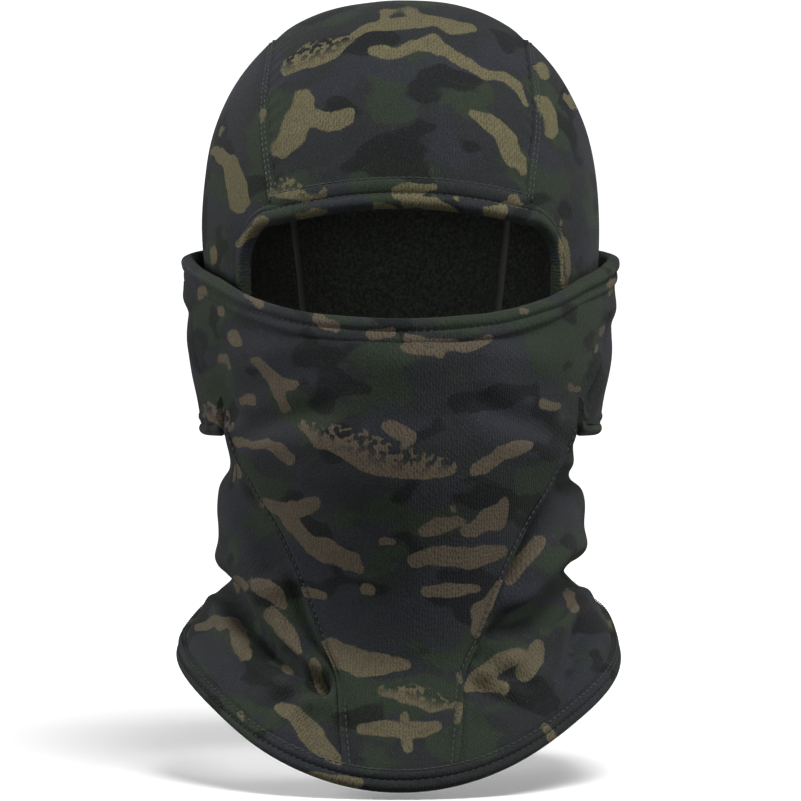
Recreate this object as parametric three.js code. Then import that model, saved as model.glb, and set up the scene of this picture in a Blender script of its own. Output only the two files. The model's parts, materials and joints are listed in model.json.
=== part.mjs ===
// A fleece-lined stretch balaclava with a pull-down face mask, as it sits on a head.
// Millimetres, +Z up. The origin is where the top of the head bears on the crown,
// the wearer faces -Y, and +X is to the right as seen from in front.
//
// Every cloth piece is a thick patch: a surface S(u, v) carried outward and inward by
// its own normal. Levels all lie on one of three forms: the hood, the mask round it,
// and the neck tube below, each a superellipse section that changes with height.
import * as THREE from 'three';

// ---- cloth -----------------------------------------------------------------------
const OUTER_CLOTH = 0.9;          // printed stretch knit
const LINING_CLOTH = 1.0;         // fleece
const PLY_GAP = 0.3;              // between the two layers
const SEAM_GAP = 0.7;             // between two panels that are sewn together
const SEAM_WIDTH = 5.0;           // flatlock seam
const SEAM_PROUD = 0.5;
const HEM_PROUD = 1.0;            // how far a turned hem stands out of its panel

// ---- hood ------------------------------------------------------------------------
const HOOD_HALF_WIDTH = 85;
const HOOD_FRONT = 100;           // from the crown's centre to the forehead
const HOOD_BACK = 105;
const WIDEST_Z = -97;
const CROWN_POWER = 2.35;         // roundness of the crown seen from the front
const SECTION_POWER = 2.1;        // roundness of every level section
const HOOD_END_Z = -178;          // where hood and neck are sewn together
const JAW_IN = 8;                 // how much narrower each side is where the hood ends
const JAW_FRONT_IN = 12;
const NAPE_IN = 13;
const STRIP_AT_TOP = 55;          // half widths of the centre strip
const STRIP_AT_BROW = 52.5;
const STRIP_AT_NAPE = 40;
const BROW_HEM_Z = -84;           // upper edge of the brow hem, at the seams
const BROW_EDGE_Z = -97;          // lower edge of the brow hem, at the seams
const BROW_ARCH = 3.4;            // degrees that the brow rises at its middle
const OPENING_HALF_WIDTH = 63;
const OPENING_HEM = 7.5;

// ---- mask ------------------------------------------------------------------------
const MASK_SIDE_STAND = 7;        // how far the mask stands off the hood at the cheekbones
const MASK_NOSE_STAND = 17;       // how far the nose pushes it past the forehead
const LIP_MIDDLE_Z = -135;        // top edge of the mask on the nose
const LIP_SIDE_Z = -105.5;        // and at the side of the head
const LIP_HEM = 11;
const MASK_END_Z = -175;
const WING_END_Z = -178;
const WING_HEM = 7;
const WING_BACK_ANGLE = 108;      // where the wing is sewn to the hood, degrees from the nose
const WING_FOLD_TOP = 82;         // the fold between the mask's front and its wing
const WING_FOLD_END = 58;

// ---- neck and cape -----------------------------------------------------------------
const HEM_FRONT_Z = -326;
const HEM_SIDE_Z = -275;
const HEM_BACK_Z = -250;
const BOTTOM_HEM = 6.5;
const BACK_PANEL_ANGLE = 150;
const NECK_TUCK = 3.8;            // how far the neck passes inside the mask
const NECK_HALF_WIDTH = 73.5;     // at the waist, just above the flare
const NECK_FULLNESS = 2.5;        // how far the slack neck puffs out above the waist
const NECK_FRONT = 87;
const NECK_BACK = 78;
const CAPE_HALF_WIDTH = 93.3;     // at the hem
const CAPE_FRONT = 107;
const CAPE_BACK = 97;

// ---- small maths -------------------------------------------------------------------
const rad = degrees => degrees * Math.PI / 180;
const mix = (a, b, t) => a + (b - a) * t;
const smooth = t => { const s = Math.min(1, Math.max(0, t)); return s * s * (3 - 2 * s); };

const steps = (from, to, count) => Array.from({ length: count + 1 }, (_, i) => mix(from, to, i / count));

// A smooth curve through [position, value] pairs in rising order of position.
function curve(points) {
  const slope = i => {
    if (i <= 0 || i >= points.length - 1) return 0;
    const before = (points[i][1] - points[i - 1][1]) / (points[i][0] - points[i - 1][0]);
    const after = (points[i + 1][1] - points[i][1]) / (points[i + 1][0] - points[i][0]);
    return before * after <= 0 ? 0 : 2 * before * after / (before + after);
  };
  return at => {
    const last = points.length - 1;
    if (at <= points[0][0]) return points[0][1];
    if (at >= points[last][0]) return points[last][1];
    let i = 0;
    while (at > points[i + 1][0]) i += 1;
    const span = points[i + 1][0] - points[i][0];
    const t = (at - points[i][0]) / span;
    const rise = t * t * (3 - 2 * t);
    return mix(points[i][1], points[i + 1][1], rise)
      + span * (slope(i) * t * (1 - t) * (1 - t) - slope(i + 1) * t * t * (1 - t));
  };
}

// ---- the three forms -----------------------------------------------------------------
const CROWN_RISE = OUTER_CLOTH + PLY_GAP + LINING_CLOTH;      // the crown's outside is above z = 0
const crownShare = z => {
  const t = Math.min(1, Math.max(0, (z - WIDEST_Z) / (CROWN_RISE - WIDEST_Z)));
  return (1 - t ** CROWN_POWER) ** (1 / CROWN_POWER);
};
const jawShare = z => smooth((WIDEST_Z - z) / (WIDEST_Z - HOOD_END_Z));

function hoodLevel(z) {
  const top = crownShare(z);
  const jaw = jawShare(z);
  return {
    half: (HOOD_HALF_WIDTH - JAW_IN * jaw) * top,
    front: (HOOD_FRONT - JAW_FRONT_IN * jaw) * top,
    back: (HOOD_BACK - NAPE_IN * jaw) * top,
  };
}

// The stand-off of the mask, as shares of its two named values, down from its lip (0) to its end (1).
const maskDown = z => (LIP_SIDE_Z - z) / (LIP_SIDE_Z - WING_END_Z);
const sideStand = curve([[0, 0.92], [0.15, 1], [0.35, 0.92], [0.53, 0.76], [0.71, 0.5], [0.85, 0.2],
  [1, -0.05], [1.1, -0.2]]);
const noseStand = curve([[0, 0.3], [0.2, 0.47], [0.41, 0.82], [0.68, 1], [1, 0.82]]);
const maskHalf = z => HOOD_HALF_WIDTH + MASK_SIDE_STAND * sideStand(maskDown(z));
const maskFront = z => HOOD_FRONT + MASK_NOSE_STAND * noseStand(maskDown(z));
const maskLevel = z => ({ half: maskHalf(z), front: maskFront(z), back: HOOD_BACK + MASK_SIDE_STAND });

// The neck narrows to its waist (0 to 1 in bend) and then flares to the hem (0 to 1 in flare).
const hoodEnd = hoodLevel(HOOD_END_Z);
const puff = curve([[0.1, -0.4], [0.2, -0.4], [0.3, 0.6], [0.42, 1], [0.58, 0.6], [0.69, 0]]);
const sideBend = curve([[0, 0], [0.2, 1], [0.7, 1]]);
const bibBend = curve([[0, 0], [0.2, 0.52], [0.35, 0.8], [0.58, 1]]);
const frontBend = curve([[0, 0], [0.15, 0.11], [0.3, 0.44], [0.5, 0.85], [0.65, 1]]);
const backBend = curve([[0, 0], [0.3, 0.7], [0.6, 1]]);
const sideFlare = curve([[0.69, 0], [0.76, 0.22], [0.82, 0.53], [0.88, 0.81], [0.94, 0.94], [1, 1]]);
const deepFlare = curve([[0.65, 0], [0.82, 0.42], [1, 1]]);
const between = (top, waist, hem, bend, flare) => v => mix(mix(top, waist, bend(v)), hem, flare(v));

const neckSide = between(hoodEnd.half, NECK_HALF_WIDTH, CAPE_HALF_WIDTH, sideBend, sideFlare);
const neckHalf = v => neckSide(v) + NECK_FULLNESS * puff(v);
const bibHalf = between(maskHalf(MASK_END_Z), NECK_HALF_WIDTH, CAPE_HALF_WIDTH, bibBend, sideFlare);
const neckFront = between(maskFront(MASK_END_Z), NECK_FRONT, CAPE_FRONT, frontBend, deepFlare);
const neckBack = between(hoodEnd.back, NECK_BACK, CAPE_BACK, backBend, deepFlare);
const bibAngle = curve([[0, WING_FOLD_END], [0.2, 52], [0.35, 41], [0.5, 32], [0.62, 26], [0.75, 18],
  [1, 13]]);

// A point of a level section: angle 0 is the nose, 90 the wearer's side, 180 the nape.
function onSection({ half, front, back }, angle, z) {
  const s = Math.sin(rad(angle));
  const c = Math.cos(rad(angle));
  const power = 2 / SECTION_POWER;
  const depth = Math.abs(c) ** power;
  const x = Math.sign(s) * half * Math.abs(s) ** power;
  return new THREE.Vector3(x, c > 0 ? -front * depth : back * depth, z);
}

// The angle at which the section is x wide, in front (behind = false) or at the back.
function angleAt({ half }, x, behind) {
  const s = Math.min(1, x / half) ** (SECTION_POWER / 2);
  const angle = Math.asin(s) * 180 / Math.PI;
  return behind ? 180 - angle : angle;
}

// ---- the hood's own lines --------------------------------------------------------------
// The height at which the crown's section is this wide to each side.
function crownHeight(half) {
  const t = (1 - (half / HOOD_HALF_WIDTH) ** CROWN_POWER) ** (1 / CROWN_POWER);
  return WIDEST_Z + t * (CROWN_RISE - WIDEST_Z);
}
const SEAM_TOP_Z = crownHeight(STRIP_AT_TOP * 1.02);          // where the seams cross the crown
const stripFront = curve([[BROW_EDGE_Z, STRIP_AT_BROW], [mix(BROW_EDGE_Z, SEAM_TOP_Z, 0.6), STRIP_AT_TOP + 2],
  [SEAM_TOP_Z, STRIP_AT_TOP]]);
const stripBack = curve([[HOOD_END_Z, STRIP_AT_NAPE], [mix(HOOD_END_Z, SEAM_TOP_Z, 0.38), STRIP_AT_NAPE + 7],
  [SEAM_TOP_Z, STRIP_AT_TOP]]);
const stripHalf = (z, behind) => (behind ? stripBack(z) : stripFront(z));
const openingHalf = z => mix(STRIP_AT_BROW, OPENING_HALF_WIDTH, smooth((BROW_EDGE_Z - z) / 28));
const openingHem = z => OPENING_HEM * smooth((BROW_HEM_Z - z) / 20);
const degreesOf = length => length / HOOD_FRONT * 180 / Math.PI;

// Heights shared by the strip and the side panels, so that their sewn edges match: close
// together where the seams run nearly level over the crown.
const CROWN_LEVELS = steps(0, 1, 8).map(t => mix(SEAM_TOP_Z, BROW_HEM_Z, t ** 1.7));
const CHEEK_LEVELS = steps(BROW_EDGE_Z, HOOD_END_Z, 6);
const SEAM_LEVELS = [...CROWN_LEVELS, ...CHEEK_LEVELS];

function seamPoint(z, behind) {
  const level = hoodLevel(z);
  return onSection(level, angleAt(level, stripHalf(z, behind), behind), z);
}

// The strip is a fan of rays in planes of constant x, all from the head's middle.
function onFan(ray, across) {
  const arch = BROW_ARCH * (1 - across * across) * Math.max(0, Math.cos(rad(ray))) ** 2;
  const c = Math.cos(rad(ray + arch));
  const s = Math.sin(rad(ray + arch));
  let near = 20;
  let far = 140;
  const at = reach => {
    const z = WIDEST_Z + reach * s;
    const y = -reach * c;
    return new THREE.Vector3(across * stripHalf(z, y > 0), y, z);
  };
  for (let i = 0; i < 40; i += 1) {
    const reach = (near + far) / 2;
    const p = at(reach);
    const { half, front, back } = hoodLevel(p.z);
    const outside = p.z > CROWN_RISE || half < 1e-6
      || Math.abs(p.x / half) ** SECTION_POWER
        + Math.abs(p.y / (p.y < 0 ? front : back)) ** SECTION_POWER > 1;
    if (outside) far = reach;
    else near = reach;
  }
  return at(near);
}

// Below the head's middle its rows are level, so that it ends level at the nape.
function onStrip(ray, across) {
  if (ray <= 180) return onFan(ray, across);
  const { z } = onFan(ray, 1);
  const level = hoodLevel(z);
  const angle = angleAt(level, Math.abs(across) * stripBack(z), true);
  return onSection(level, across < 0 ? -angle : angle, z);
}

const rayOf = (z, behind) => {
  const p = seamPoint(z, behind);
  return Math.atan2(p.z - WIDEST_Z, -p.y) * 180 / Math.PI;
};
const nape = ray => (ray < -90 ? ray + 360 : ray);

// Rays of the strip's rows: up the front seam, over the crown, down the back.
const FRONT_RAYS = [...CROWN_LEVELS].reverse().map(z => rayOf(z, false));
const BACK_RAYS = SEAM_LEVELS.map(z => nape(rayOf(z, true)));
const STRIP_RAYS = [...FRONT_RAYS, 90, ...BACK_RAYS];

// ---- the mask's and the neck's own lines ----------------------------------------------
const lipRise = curve([[0, 0], [20, 0.07], [40, 0.3], [57, 0.62], [90, 1], [WING_BACK_ANGLE, 1.1]]);
const lipZ = angle => mix(LIP_MIDDLE_Z, LIP_SIDE_Z, lipRise(angle));
const maskEndZ = curve([[0, MASK_END_Z], [50, MASK_END_Z - 1], [WING_FOLD_END, WING_END_Z],
  [90, WING_END_Z], [WING_BACK_ANGLE, WING_END_Z + 8]]);
const foldAngle = v => mix(WING_FOLD_TOP, WING_FOLD_END, v);
const neckTopZ = angle => (angle < WING_FOLD_END ? maskEndZ(angle) : HOOD_END_Z) - SEAM_GAP;
const hemZ = curve([[0, HEM_FRONT_Z], [90, HEM_SIDE_Z], [180, HEM_BACK_Z]]);
const hemShare = angle => BOTTOM_HEM / (1.15 * (neckTopZ(angle) - hemZ(angle)));

const onMask = (angle, z) => onSection(maskLevel(z), angle, z);
const maskRow = (angle, v) => {
  const size = Math.abs(angle);
  return onMask(angle, mix(lipZ(size) - LIP_HEM - SEAM_GAP, maskEndZ(size), v));
};

// The bib continues the mask; the neck panels leave it along the seams and tuck inside.
function onNeck(angle, v, isBib) {
  const size = Math.abs(angle);
  const tuck = isBib ? 0 : NECK_TUCK * (1 - smooth(v / 0.16));
  const leave = isBib ? 0 : smooth((size - bibAngle(v)) / 20);
  const level = {
    half: mix(bibHalf(v) - tuck, neckHalf(v), leave),
    front: neckFront(v) - tuck,
    back: neckBack(v),
  };
  return onSection(level, angle, mix(neckTopZ(size), hemZ(size), v));
}

// ---- solids ----------------------------------------------------------------------------
// A closed patch of cloth: surface(u, v) on a grid, between two offsets along its normal.
// side = -1 mirrors the piece to the other side of the head.
function patch(surface, columns, rows, inner, outer, side = 1) {
  const step = 1e-3;
  const cells = [columns.length, rows.length];
  const positions = [];
  const offsetPoint = (u, v, offset) => {
    const p = surface(u, v);
    const du = surface(u + step, v).sub(surface(u - step, v));
    const dv = surface(u, v + step).sub(surface(u, v - step));
    const normal = du.cross(dv).normalize();
    const away = new THREE.Vector3(p.x, p.y, Math.max(0, p.z - WIDEST_Z));
    if (normal.dot(away) < 0) normal.negate();
    return p.addScaledVector(normal, offset);
  };
  for (const offset of [outer, inner]) {
    for (const v of rows) {
      for (const u of columns) {
        const p = offsetPoint(u, v, offset);
        positions.push(side * p.x, p.y, p.z);
      }
    }
  }
  const layer = cells[0] * cells[1];
  const at = (i, j, k) => k * layer + j * cells[0] + i;
  const faces = [];
  const quad = (a, b, c, d) => faces.push(a, b, c, a, c, d);
  for (let j = 0; j < cells[1] - 1; j += 1) {
    for (let i = 0; i < cells[0] - 1; i += 1) {
      quad(at(i, j, 0), at(i + 1, j, 0), at(i + 1, j + 1, 0), at(i, j + 1, 0));
      quad(at(i, j, 1), at(i, j + 1, 1), at(i + 1, j + 1, 1), at(i + 1, j, 1));
    }
  }
  for (let i = 0; i < cells[0] - 1; i += 1) {
    const end = cells[1] - 1;
    quad(at(i, 0, 0), at(i, 0, 1), at(i + 1, 0, 1), at(i + 1, 0, 0));
    quad(at(i, end, 0), at(i + 1, end, 0), at(i + 1, end, 1), at(i, end, 1));
  }
  for (let j = 0; j < cells[1] - 1; j += 1) {
    const end = cells[0] - 1;
    quad(at(0, j, 0), at(0, j + 1, 0), at(0, j + 1, 1), at(0, j, 1));
    quad(at(end, j, 0), at(end, j, 1), at(end, j + 1, 1), at(end, j + 1, 0));
  }
  return outward(positions, faces);
}

// Turns every face over if the solid's signed volume is negative.
function outward(positions, faces) {
  const corner = i => new THREE.Vector3(...positions.slice(3 * i, 3 * i + 3));
  let volume = 0;
  for (let f = 0; f < faces.length; f += 3) {
    volume += corner(faces[f]).dot(corner(faces[f + 1]).cross(corner(faces[f + 2])));
  }
  if (volume < 0) faces.reverse();
  const geometry = new THREE.BufferGeometry();
  geometry.setAttribute('position', new THREE.Float32BufferAttribute(positions, 3));
  geometry.setIndex(faces);
  geometry.computeVertexNormals();
  return geometry;
}

// ---- materials and the group -------------------------------------------------------------
const camo = new THREE.MeshStandardMaterial({ color: 0x23262b, roughness: 0.85, metalness: 0 });
const camoMask = new THREE.MeshStandardMaterial({ color: 0x2b2b30, roughness: 0.85, metalness: 0 });
const fleece = new THREE.MeshStandardMaterial({ color: 0x121312, roughness: 1, metalness: 0 });
const thread = new THREE.MeshStandardMaterial({ color: 0x1b1e22, roughness: 0.7, metalness: 0 });

const balaclava = new THREE.Group();
function add(name, geometry, material) {
  const mesh = new THREE.Mesh(geometry, material);
  mesh.name = name;
  balaclava.add(mesh);
}

// A panel is two pieces of cloth: the printed outer and the fleece behind it.
function addPanel(name, lining, surface, columns, rows, material, side = 1) {
  add(name, patch(surface, columns, rows, -OUTER_CLOTH, 0, side), material);
  const behind = -OUTER_CLOTH - PLY_GAP;
  add(lining, patch(surface, columns, rows, behind - LINING_CLOTH, behind, side), fleece);
}

const HEM_INNER = -CROWN_RISE;
const SIDES = [['left', -1], ['right', 1]];

function buildHood() {
  const margin = SEAM_GAP / 2 / STRIP_AT_TOP;
  const strip = (u, v) => onStrip(v, u * (1 - margin));
  addPanel('crown_panel', 'crown_lining', strip, steps(-1, 1, 8), STRIP_RAYS, camo);

  const browRay = rayOf(BROW_HEM_Z, false);
  const edgeRay = rayOf(BROW_EDGE_Z, false);
  const gap = degreesOf(SEAM_GAP);
  add('brow_hem', patch(strip, steps(-1, 1, 12), steps(edgeRay, browRay - gap, 2), HEM_INNER, HEM_PROUD),
    camo);

  const sideFront = z => {
    const level = hoodLevel(z);
    const half = z > BROW_EDGE_Z ? stripFront(z) : openingHalf(z);
    return angleAt(level, half + SEAM_GAP / 2, false) + degreesOf(openingHem(z));
  };
  const sideBack = z => angleAt(hoodLevel(z), stripBack(z) + SEAM_GAP / 2, true);
  const sidePanel = (u, z) => onSection(hoodLevel(z), mix(sideFront(z), sideBack(z), u), z);
  const hemLevels = [BROW_EDGE_Z - SEAM_GAP, ...CHEEK_LEVELS.slice(1)];
  const openingEdge = (u, z) => {
    const from = angleAt(hoodLevel(z), openingHalf(z), false);
    return onSection(hoodLevel(z), mix(from, sideFront(z) - gap, u), z);
  };
  // The seam lies over the joint of strip and side panel, just clear of both.
  const seamRays = STRIP_RAYS.slice(0, -1);
  const seamEdge = SEAM_WIDTH / 2 / STRIP_AT_TOP;
  const seam = (u, v) => onStrip(v, 1 + u * seamEdge);
  for (const [name, side] of SIDES) {
    addPanel(`${name}_side_panel`, `${name}_side_lining`, sidePanel, steps(0, 1, 9), SEAM_LEVELS, camo, side);
    add(`${name}_opening_hem`, patch(openingEdge, [0, 1], hemLevels, HEM_INNER, HEM_PROUD, side), camo);
    add(`crown_seam_${name}`, patch(seam, [-1, 1], seamRays, PLY_GAP + 0.4, PLY_GAP + 0.4 + SEAM_PROUD, side),
      thread);
  }
}

function buildMask() {
  const front = (u, v) => maskRow(u * foldAngle(v), v);
  addPanel('mask_panel', 'mask_lining', front, steps(-1, 1, 14), steps(0, 1, 4), camoMask);
  const lip = (angle, v) => onMask(angle, lipZ(Math.abs(angle)) - v * LIP_HEM);
  add('mask_top_hem', patch(lip, steps(-WING_BACK_ANGLE, WING_BACK_ANGLE, 28), [0, 0.5, 1], HEM_INNER,
    HEM_PROUD), camoMask);

  const wing = (u, v) => {
    const from = foldAngle(v) + degreesOf(SEAM_GAP);
    return maskRow(mix(from, WING_BACK_ANGLE, u), v);
  };
  const wingHem = (angle, v) => onMask(angle, maskEndZ(angle) - SEAM_GAP - v * WING_HEM);
  for (const [name, side] of SIDES) {
    addPanel(`${name}_wing`, `${name}_wing_lining`, wing, steps(0, 1, 5), steps(0, 1, 4), camoMask, side);
    add(`${name}_wing_hem`, patch(wingHem, steps(WING_FOLD_END + 2, WING_BACK_ANGLE, 6), [0, 1], HEM_INNER,
      HEM_PROUD, side), camoMask);
  }
}

function buildNeck() {
  const gap = degreesOf(SEAM_GAP) / 2;
  const upTo = (angle, v) => v * (1 - hemShare(Math.abs(angle))) - v * SEAM_GAP / 110;
  const bib = (u, v) => {
    const angle = u * (bibAngle(v) - gap);
    return onNeck(angle, upTo(angle, v), true);
  };
  const levels = [0, 0.1, 0.2, 0.3, 0.42, 0.55, 0.67, 0.76, 0.85, 0.93, 1];
  addPanel('bib_panel', 'bib_lining', bib, steps(-1, 1, 8), levels, camo);

  const neck = (u, v) => {
    const angle = mix(bibAngle(v) + gap, BACK_PANEL_ANGLE - gap, u);
    return onNeck(angle, upTo(angle, v), false);
  };
  const back = (u, v) => {
    const angle = mix(BACK_PANEL_ANGLE + gap, 360 - BACK_PANEL_ANGLE - gap, u);
    const mirrored = angle > 180 ? angle - 360 : angle;
    return onNeck(mirrored, upTo(mirrored, v), false);
  };
  addPanel('back_neck_panel', 'back_neck_lining', back, steps(0, 1, 6), levels, camo);

  const band = isBib => (angle, v) => {
    const turned = angle > 180 ? angle - 360 : angle;
    return onNeck(turned, 1 - hemShare(Math.abs(turned)) * (1 - v), isBib);
  };
  const endAngle = bibAngle(1);
  const hem = (from, to, count, side, isBib = false) => patch(band(isBib), steps(from + gap, to - gap, count),
    [0, 1], HEM_INNER, HEM_PROUD, side);
  add('front_hem', hem(-endAngle, endAngle, 4, 1, true), camo);
  add('back_hem', hem(BACK_PANEL_ANGLE, 360 - BACK_PANEL_ANGLE, 8, 1), camo);

  const seamHalf = degreesOf(SEAM_WIDTH) / 4;
  const bibSeam = (u, v) => {
    const angle = bibAngle(v) - gap - seamHalf * (1 - u);
    return onNeck(angle, upTo(angle, v), true);
  };
  for (const [name, side] of SIDES) {
    addPanel(`${name}_neck_panel`, `${name}_neck_lining`, neck, steps(0, 1, 9), levels, camo, side);
    add(`${name}_hem`, hem(endAngle, BACK_PANEL_ANGLE, 12, side), camo);
    add(`bib_seam_${name}`, patch(bibSeam, [-1, 1], levels, PLY_GAP + 0.1, PLY_GAP + 0.1 + SEAM_PROUD, side),
      thread);
  }
}

buildHood();
buildMask();
buildNeck();

export default balaclava;
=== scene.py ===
"""The looks of a fleece-lined camouflage balaclava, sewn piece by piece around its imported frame.

Every cloth piece is a grid of points worked out with numpy on one of three forms: the hood,
the mask round it and the neck below. Sizes in this file are millimetres until a mesh is made.
"""

from __future__ import annotations

import json
import logging
import math
from dataclasses import dataclass, field
from enum import Enum

import bpy
import numpy as np
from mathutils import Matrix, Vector

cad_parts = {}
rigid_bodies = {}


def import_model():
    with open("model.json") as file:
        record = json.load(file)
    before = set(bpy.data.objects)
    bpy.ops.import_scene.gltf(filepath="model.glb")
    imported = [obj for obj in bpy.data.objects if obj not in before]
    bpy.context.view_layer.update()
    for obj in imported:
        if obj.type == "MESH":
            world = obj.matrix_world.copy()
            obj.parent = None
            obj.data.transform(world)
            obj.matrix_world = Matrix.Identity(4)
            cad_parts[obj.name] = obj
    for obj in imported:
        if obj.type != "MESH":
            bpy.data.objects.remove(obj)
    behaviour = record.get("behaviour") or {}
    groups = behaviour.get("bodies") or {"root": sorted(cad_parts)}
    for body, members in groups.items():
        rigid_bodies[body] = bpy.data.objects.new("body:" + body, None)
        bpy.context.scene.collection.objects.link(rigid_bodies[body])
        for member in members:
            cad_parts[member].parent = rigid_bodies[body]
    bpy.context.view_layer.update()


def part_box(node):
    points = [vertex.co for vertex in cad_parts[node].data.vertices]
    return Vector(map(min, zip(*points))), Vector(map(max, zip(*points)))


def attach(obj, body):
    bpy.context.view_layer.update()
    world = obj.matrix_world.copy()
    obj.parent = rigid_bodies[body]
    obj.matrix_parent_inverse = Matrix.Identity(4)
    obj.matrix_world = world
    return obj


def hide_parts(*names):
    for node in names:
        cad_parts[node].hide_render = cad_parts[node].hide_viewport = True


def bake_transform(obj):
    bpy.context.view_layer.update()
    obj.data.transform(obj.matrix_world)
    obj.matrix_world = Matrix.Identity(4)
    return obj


LOG = logging.getLogger("balaclava")
MM = 0.001
# The height of the head's widest line, and the share of the cape that its panels cover above the hem.
WIDEST_Z = -97.0
PANEL_END = 0.965
Array = np.ndarray


class Side(Enum):
    """The two sides of the wearer's head, as signs of X."""

    LEFT = -1
    RIGHT = 1

    @property
    def word(self) -> str:
        """The side's name as pieces carry it."""
        return self.name.lower()

    @property
    def mirror(self) -> Array:
        """What points of the right side are multiplied by to lie on this side."""
        return np.array([self.value, 1, 1])


# ---- small maths -----------------------------------------------------------------------


def mix(a: Array | float, b: Array | float, t: Array | float) -> Array | float:
    """The value a share t of the way from a to b."""
    return a + (b - a) * t


def smooth(t: Array | float) -> Array | float:
    """A soft step from 0 to 1: three t squared less two t cubed."""
    s = np.clip(t, 0.0, 1.0)
    return s * s * (3 - 2 * s)


def bell(x: Array | float, middle: float, width: float) -> Array | float:
    """A rounded bump of height 1: e to the minus squared distance over width."""
    return np.exp(-(((x - middle) / width) ** 2))


def unit(v: Array) -> Array:
    """Each vector divided by its own length."""
    return v / np.maximum(np.linalg.norm(v, axis=-1, keepdims=True), 1e-9)


class Curve:
    """A smooth line through (position, value) pairs that stays level past its ends."""

    def __init__(self, *points: tuple[float, float]) -> None:
        """Keeps the knots and gives each the harmonic mean of the slopes beside it."""
        self.at, self.value = np.array(points, float).T
        rise = np.diff(self.value) / np.diff(self.at)
        before, after = rise[:-1], rise[1:]
        turns = before * after <= 0
        total = np.where(turns, 1.0, before + after)
        self.slope = np.zeros(len(self.at))
        self.slope[1:-1] = np.where(turns, 0.0, 2 * before * after / total)

    def __call__(self, x: Array | float) -> Array:
        """The cubic between the two knots on either side of x."""
        x = np.clip(x, self.at[0], self.at[-1])
        i = np.clip(np.searchsorted(self.at, x) - 1, 0, len(self.at) - 2)
        span = self.at[i + 1] - self.at[i]
        t = (x - self.at[i]) / span
        bulge = self.slope[i] * t * (1 - t) ** 2 - self.slope[i + 1] * t * t * (1 - t)
        return mix(self.value[i], self.value[i + 1], smooth(t)) + span * bulge


def noise(points: Array, seed: int = 0) -> Array:
    """Value noise from -1 to 1: random numbers at whole-number corners, smoothly mixed."""
    base = np.floor(points).astype(np.int64)
    t = smooth(points - base)
    total = np.zeros(points.shape[:-1])
    for corner in np.ndindex(2, 2, 2):
        cell = base + np.array(corner)
        mixed = cell[..., 0] * 73856093 ^ cell[..., 1] * 19349663 ^ cell[..., 2] * 83492791
        mixed = (mixed ^ seed * 2654435761) & 0xFFFFFFFF
        mixed = ((mixed ^ mixed >> 15) * 2246822519) & 0xFFFFFFFF
        mixed = ((mixed ^ mixed >> 13) * 3266489917) & 0xFFFFFFFF
        value = (mixed ^ mixed >> 16) / 0xFFFFFFFF * 2 - 1
        weight = np.prod(np.where(np.array(corner), t, 1 - t), axis=-1)
        total += value * weight
    return total


def layered(points: Array, seed: int = 0, layers: int = 3) -> Array:
    """Noise at several sizes, each half as large and half as strong as the one before."""
    total = sum(noise(points * 2**i, seed + i) / 2**i for i in range(layers))
    return total / (2 - 0.5 ** (layers - 1))


# ---- sizes ------------------------------------------------------------------------------


@dataclass(frozen=True)
class Sizes:
    """The driving sizes, read from the frame's nodes, and those that only the looks need."""

    half_width: float
    front: float
    back: float
    crown_rise: float
    widest_z: float
    hood_end_z: float
    brow_top_z: float
    brow_edge_z: float
    lip_middle_z: float
    lip_side_z: float
    hem_front_z: float
    hem_side_z: float
    hem_back_z: float
    cape_half_width: float
    cape_front: float
    cape_back: float
    cloth: float = 2.0
    seam_gap: float = 0.5
    crown_power: float = 2.35
    section_power: float = 2.1
    jaw_in: float = 8.0
    jaw_front_in: float = 12.0
    nape_in: float = 13.0
    strip_at_top: float = 55.0
    strip_at_brow: float = 52.5
    strip_at_nape: float = 40.0
    brow_arch: float = 3.4
    opening_half_width: float = 63.0
    opening_hem: float = 7.5
    side_stand: float = 7.0
    nose_stand: float = 17.0
    lip_hem: float = 11.0
    mask_end_z: float = -175.0
    wing_end_z: float = -178.0
    wing_hem: float = 11.8
    wing_back_angle: float = 108.0
    fold_top: float = 82.0
    fold_end: float = 58.0
    neck_half_width: float = 73.5
    neck_fullness: float = 3.4
    neck_front: float = 87.0
    neck_back: float = 78.0
    neck_tuck: float = 3.8
    bottom_hem: float = 9.5
    back_panel_angle: float = 150.0

    @classmethod
    def from_frame(cls) -> Sizes:
        """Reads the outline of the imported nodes.

        Returns:
            The sizes in millimetres, with each hem's own fullness taken off.
        """
        proud = 1.0

        def low(node: str) -> Vector:
            """The node's lowest corner in millimetres."""
            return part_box(node)[0] / MM

        def high(node: str) -> Vector:
            """The node's highest corner in millimetres."""
            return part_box(node)[1] / MM

        return cls(
            half_width=high("right_side_panel").x,
            front=-low("crown_panel").y,
            back=high("crown_panel").y,
            crown_rise=high("crown_panel").z,
            widest_z=WIDEST_Z,
            hood_end_z=low("right_side_panel").z,
            brow_top_z=low("brow_hem").z + 13.0,
            brow_edge_z=low("brow_hem").z,
            lip_middle_z=low("mask_top_hem").z + 11.0,
            lip_side_z=high("mask_top_hem").z - 3.0,
            hem_front_z=low("front_hem").z,
            hem_side_z=-275.0,
            hem_back_z=high("back_hem").z - 6.5,
            cape_half_width=high("right_hem").x - proud,
            cape_front=-low("front_hem").y - proud,
            cape_back=high("back_hem").y - proud,
        )


# ---- forms ------------------------------------------------------------------------------


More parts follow.
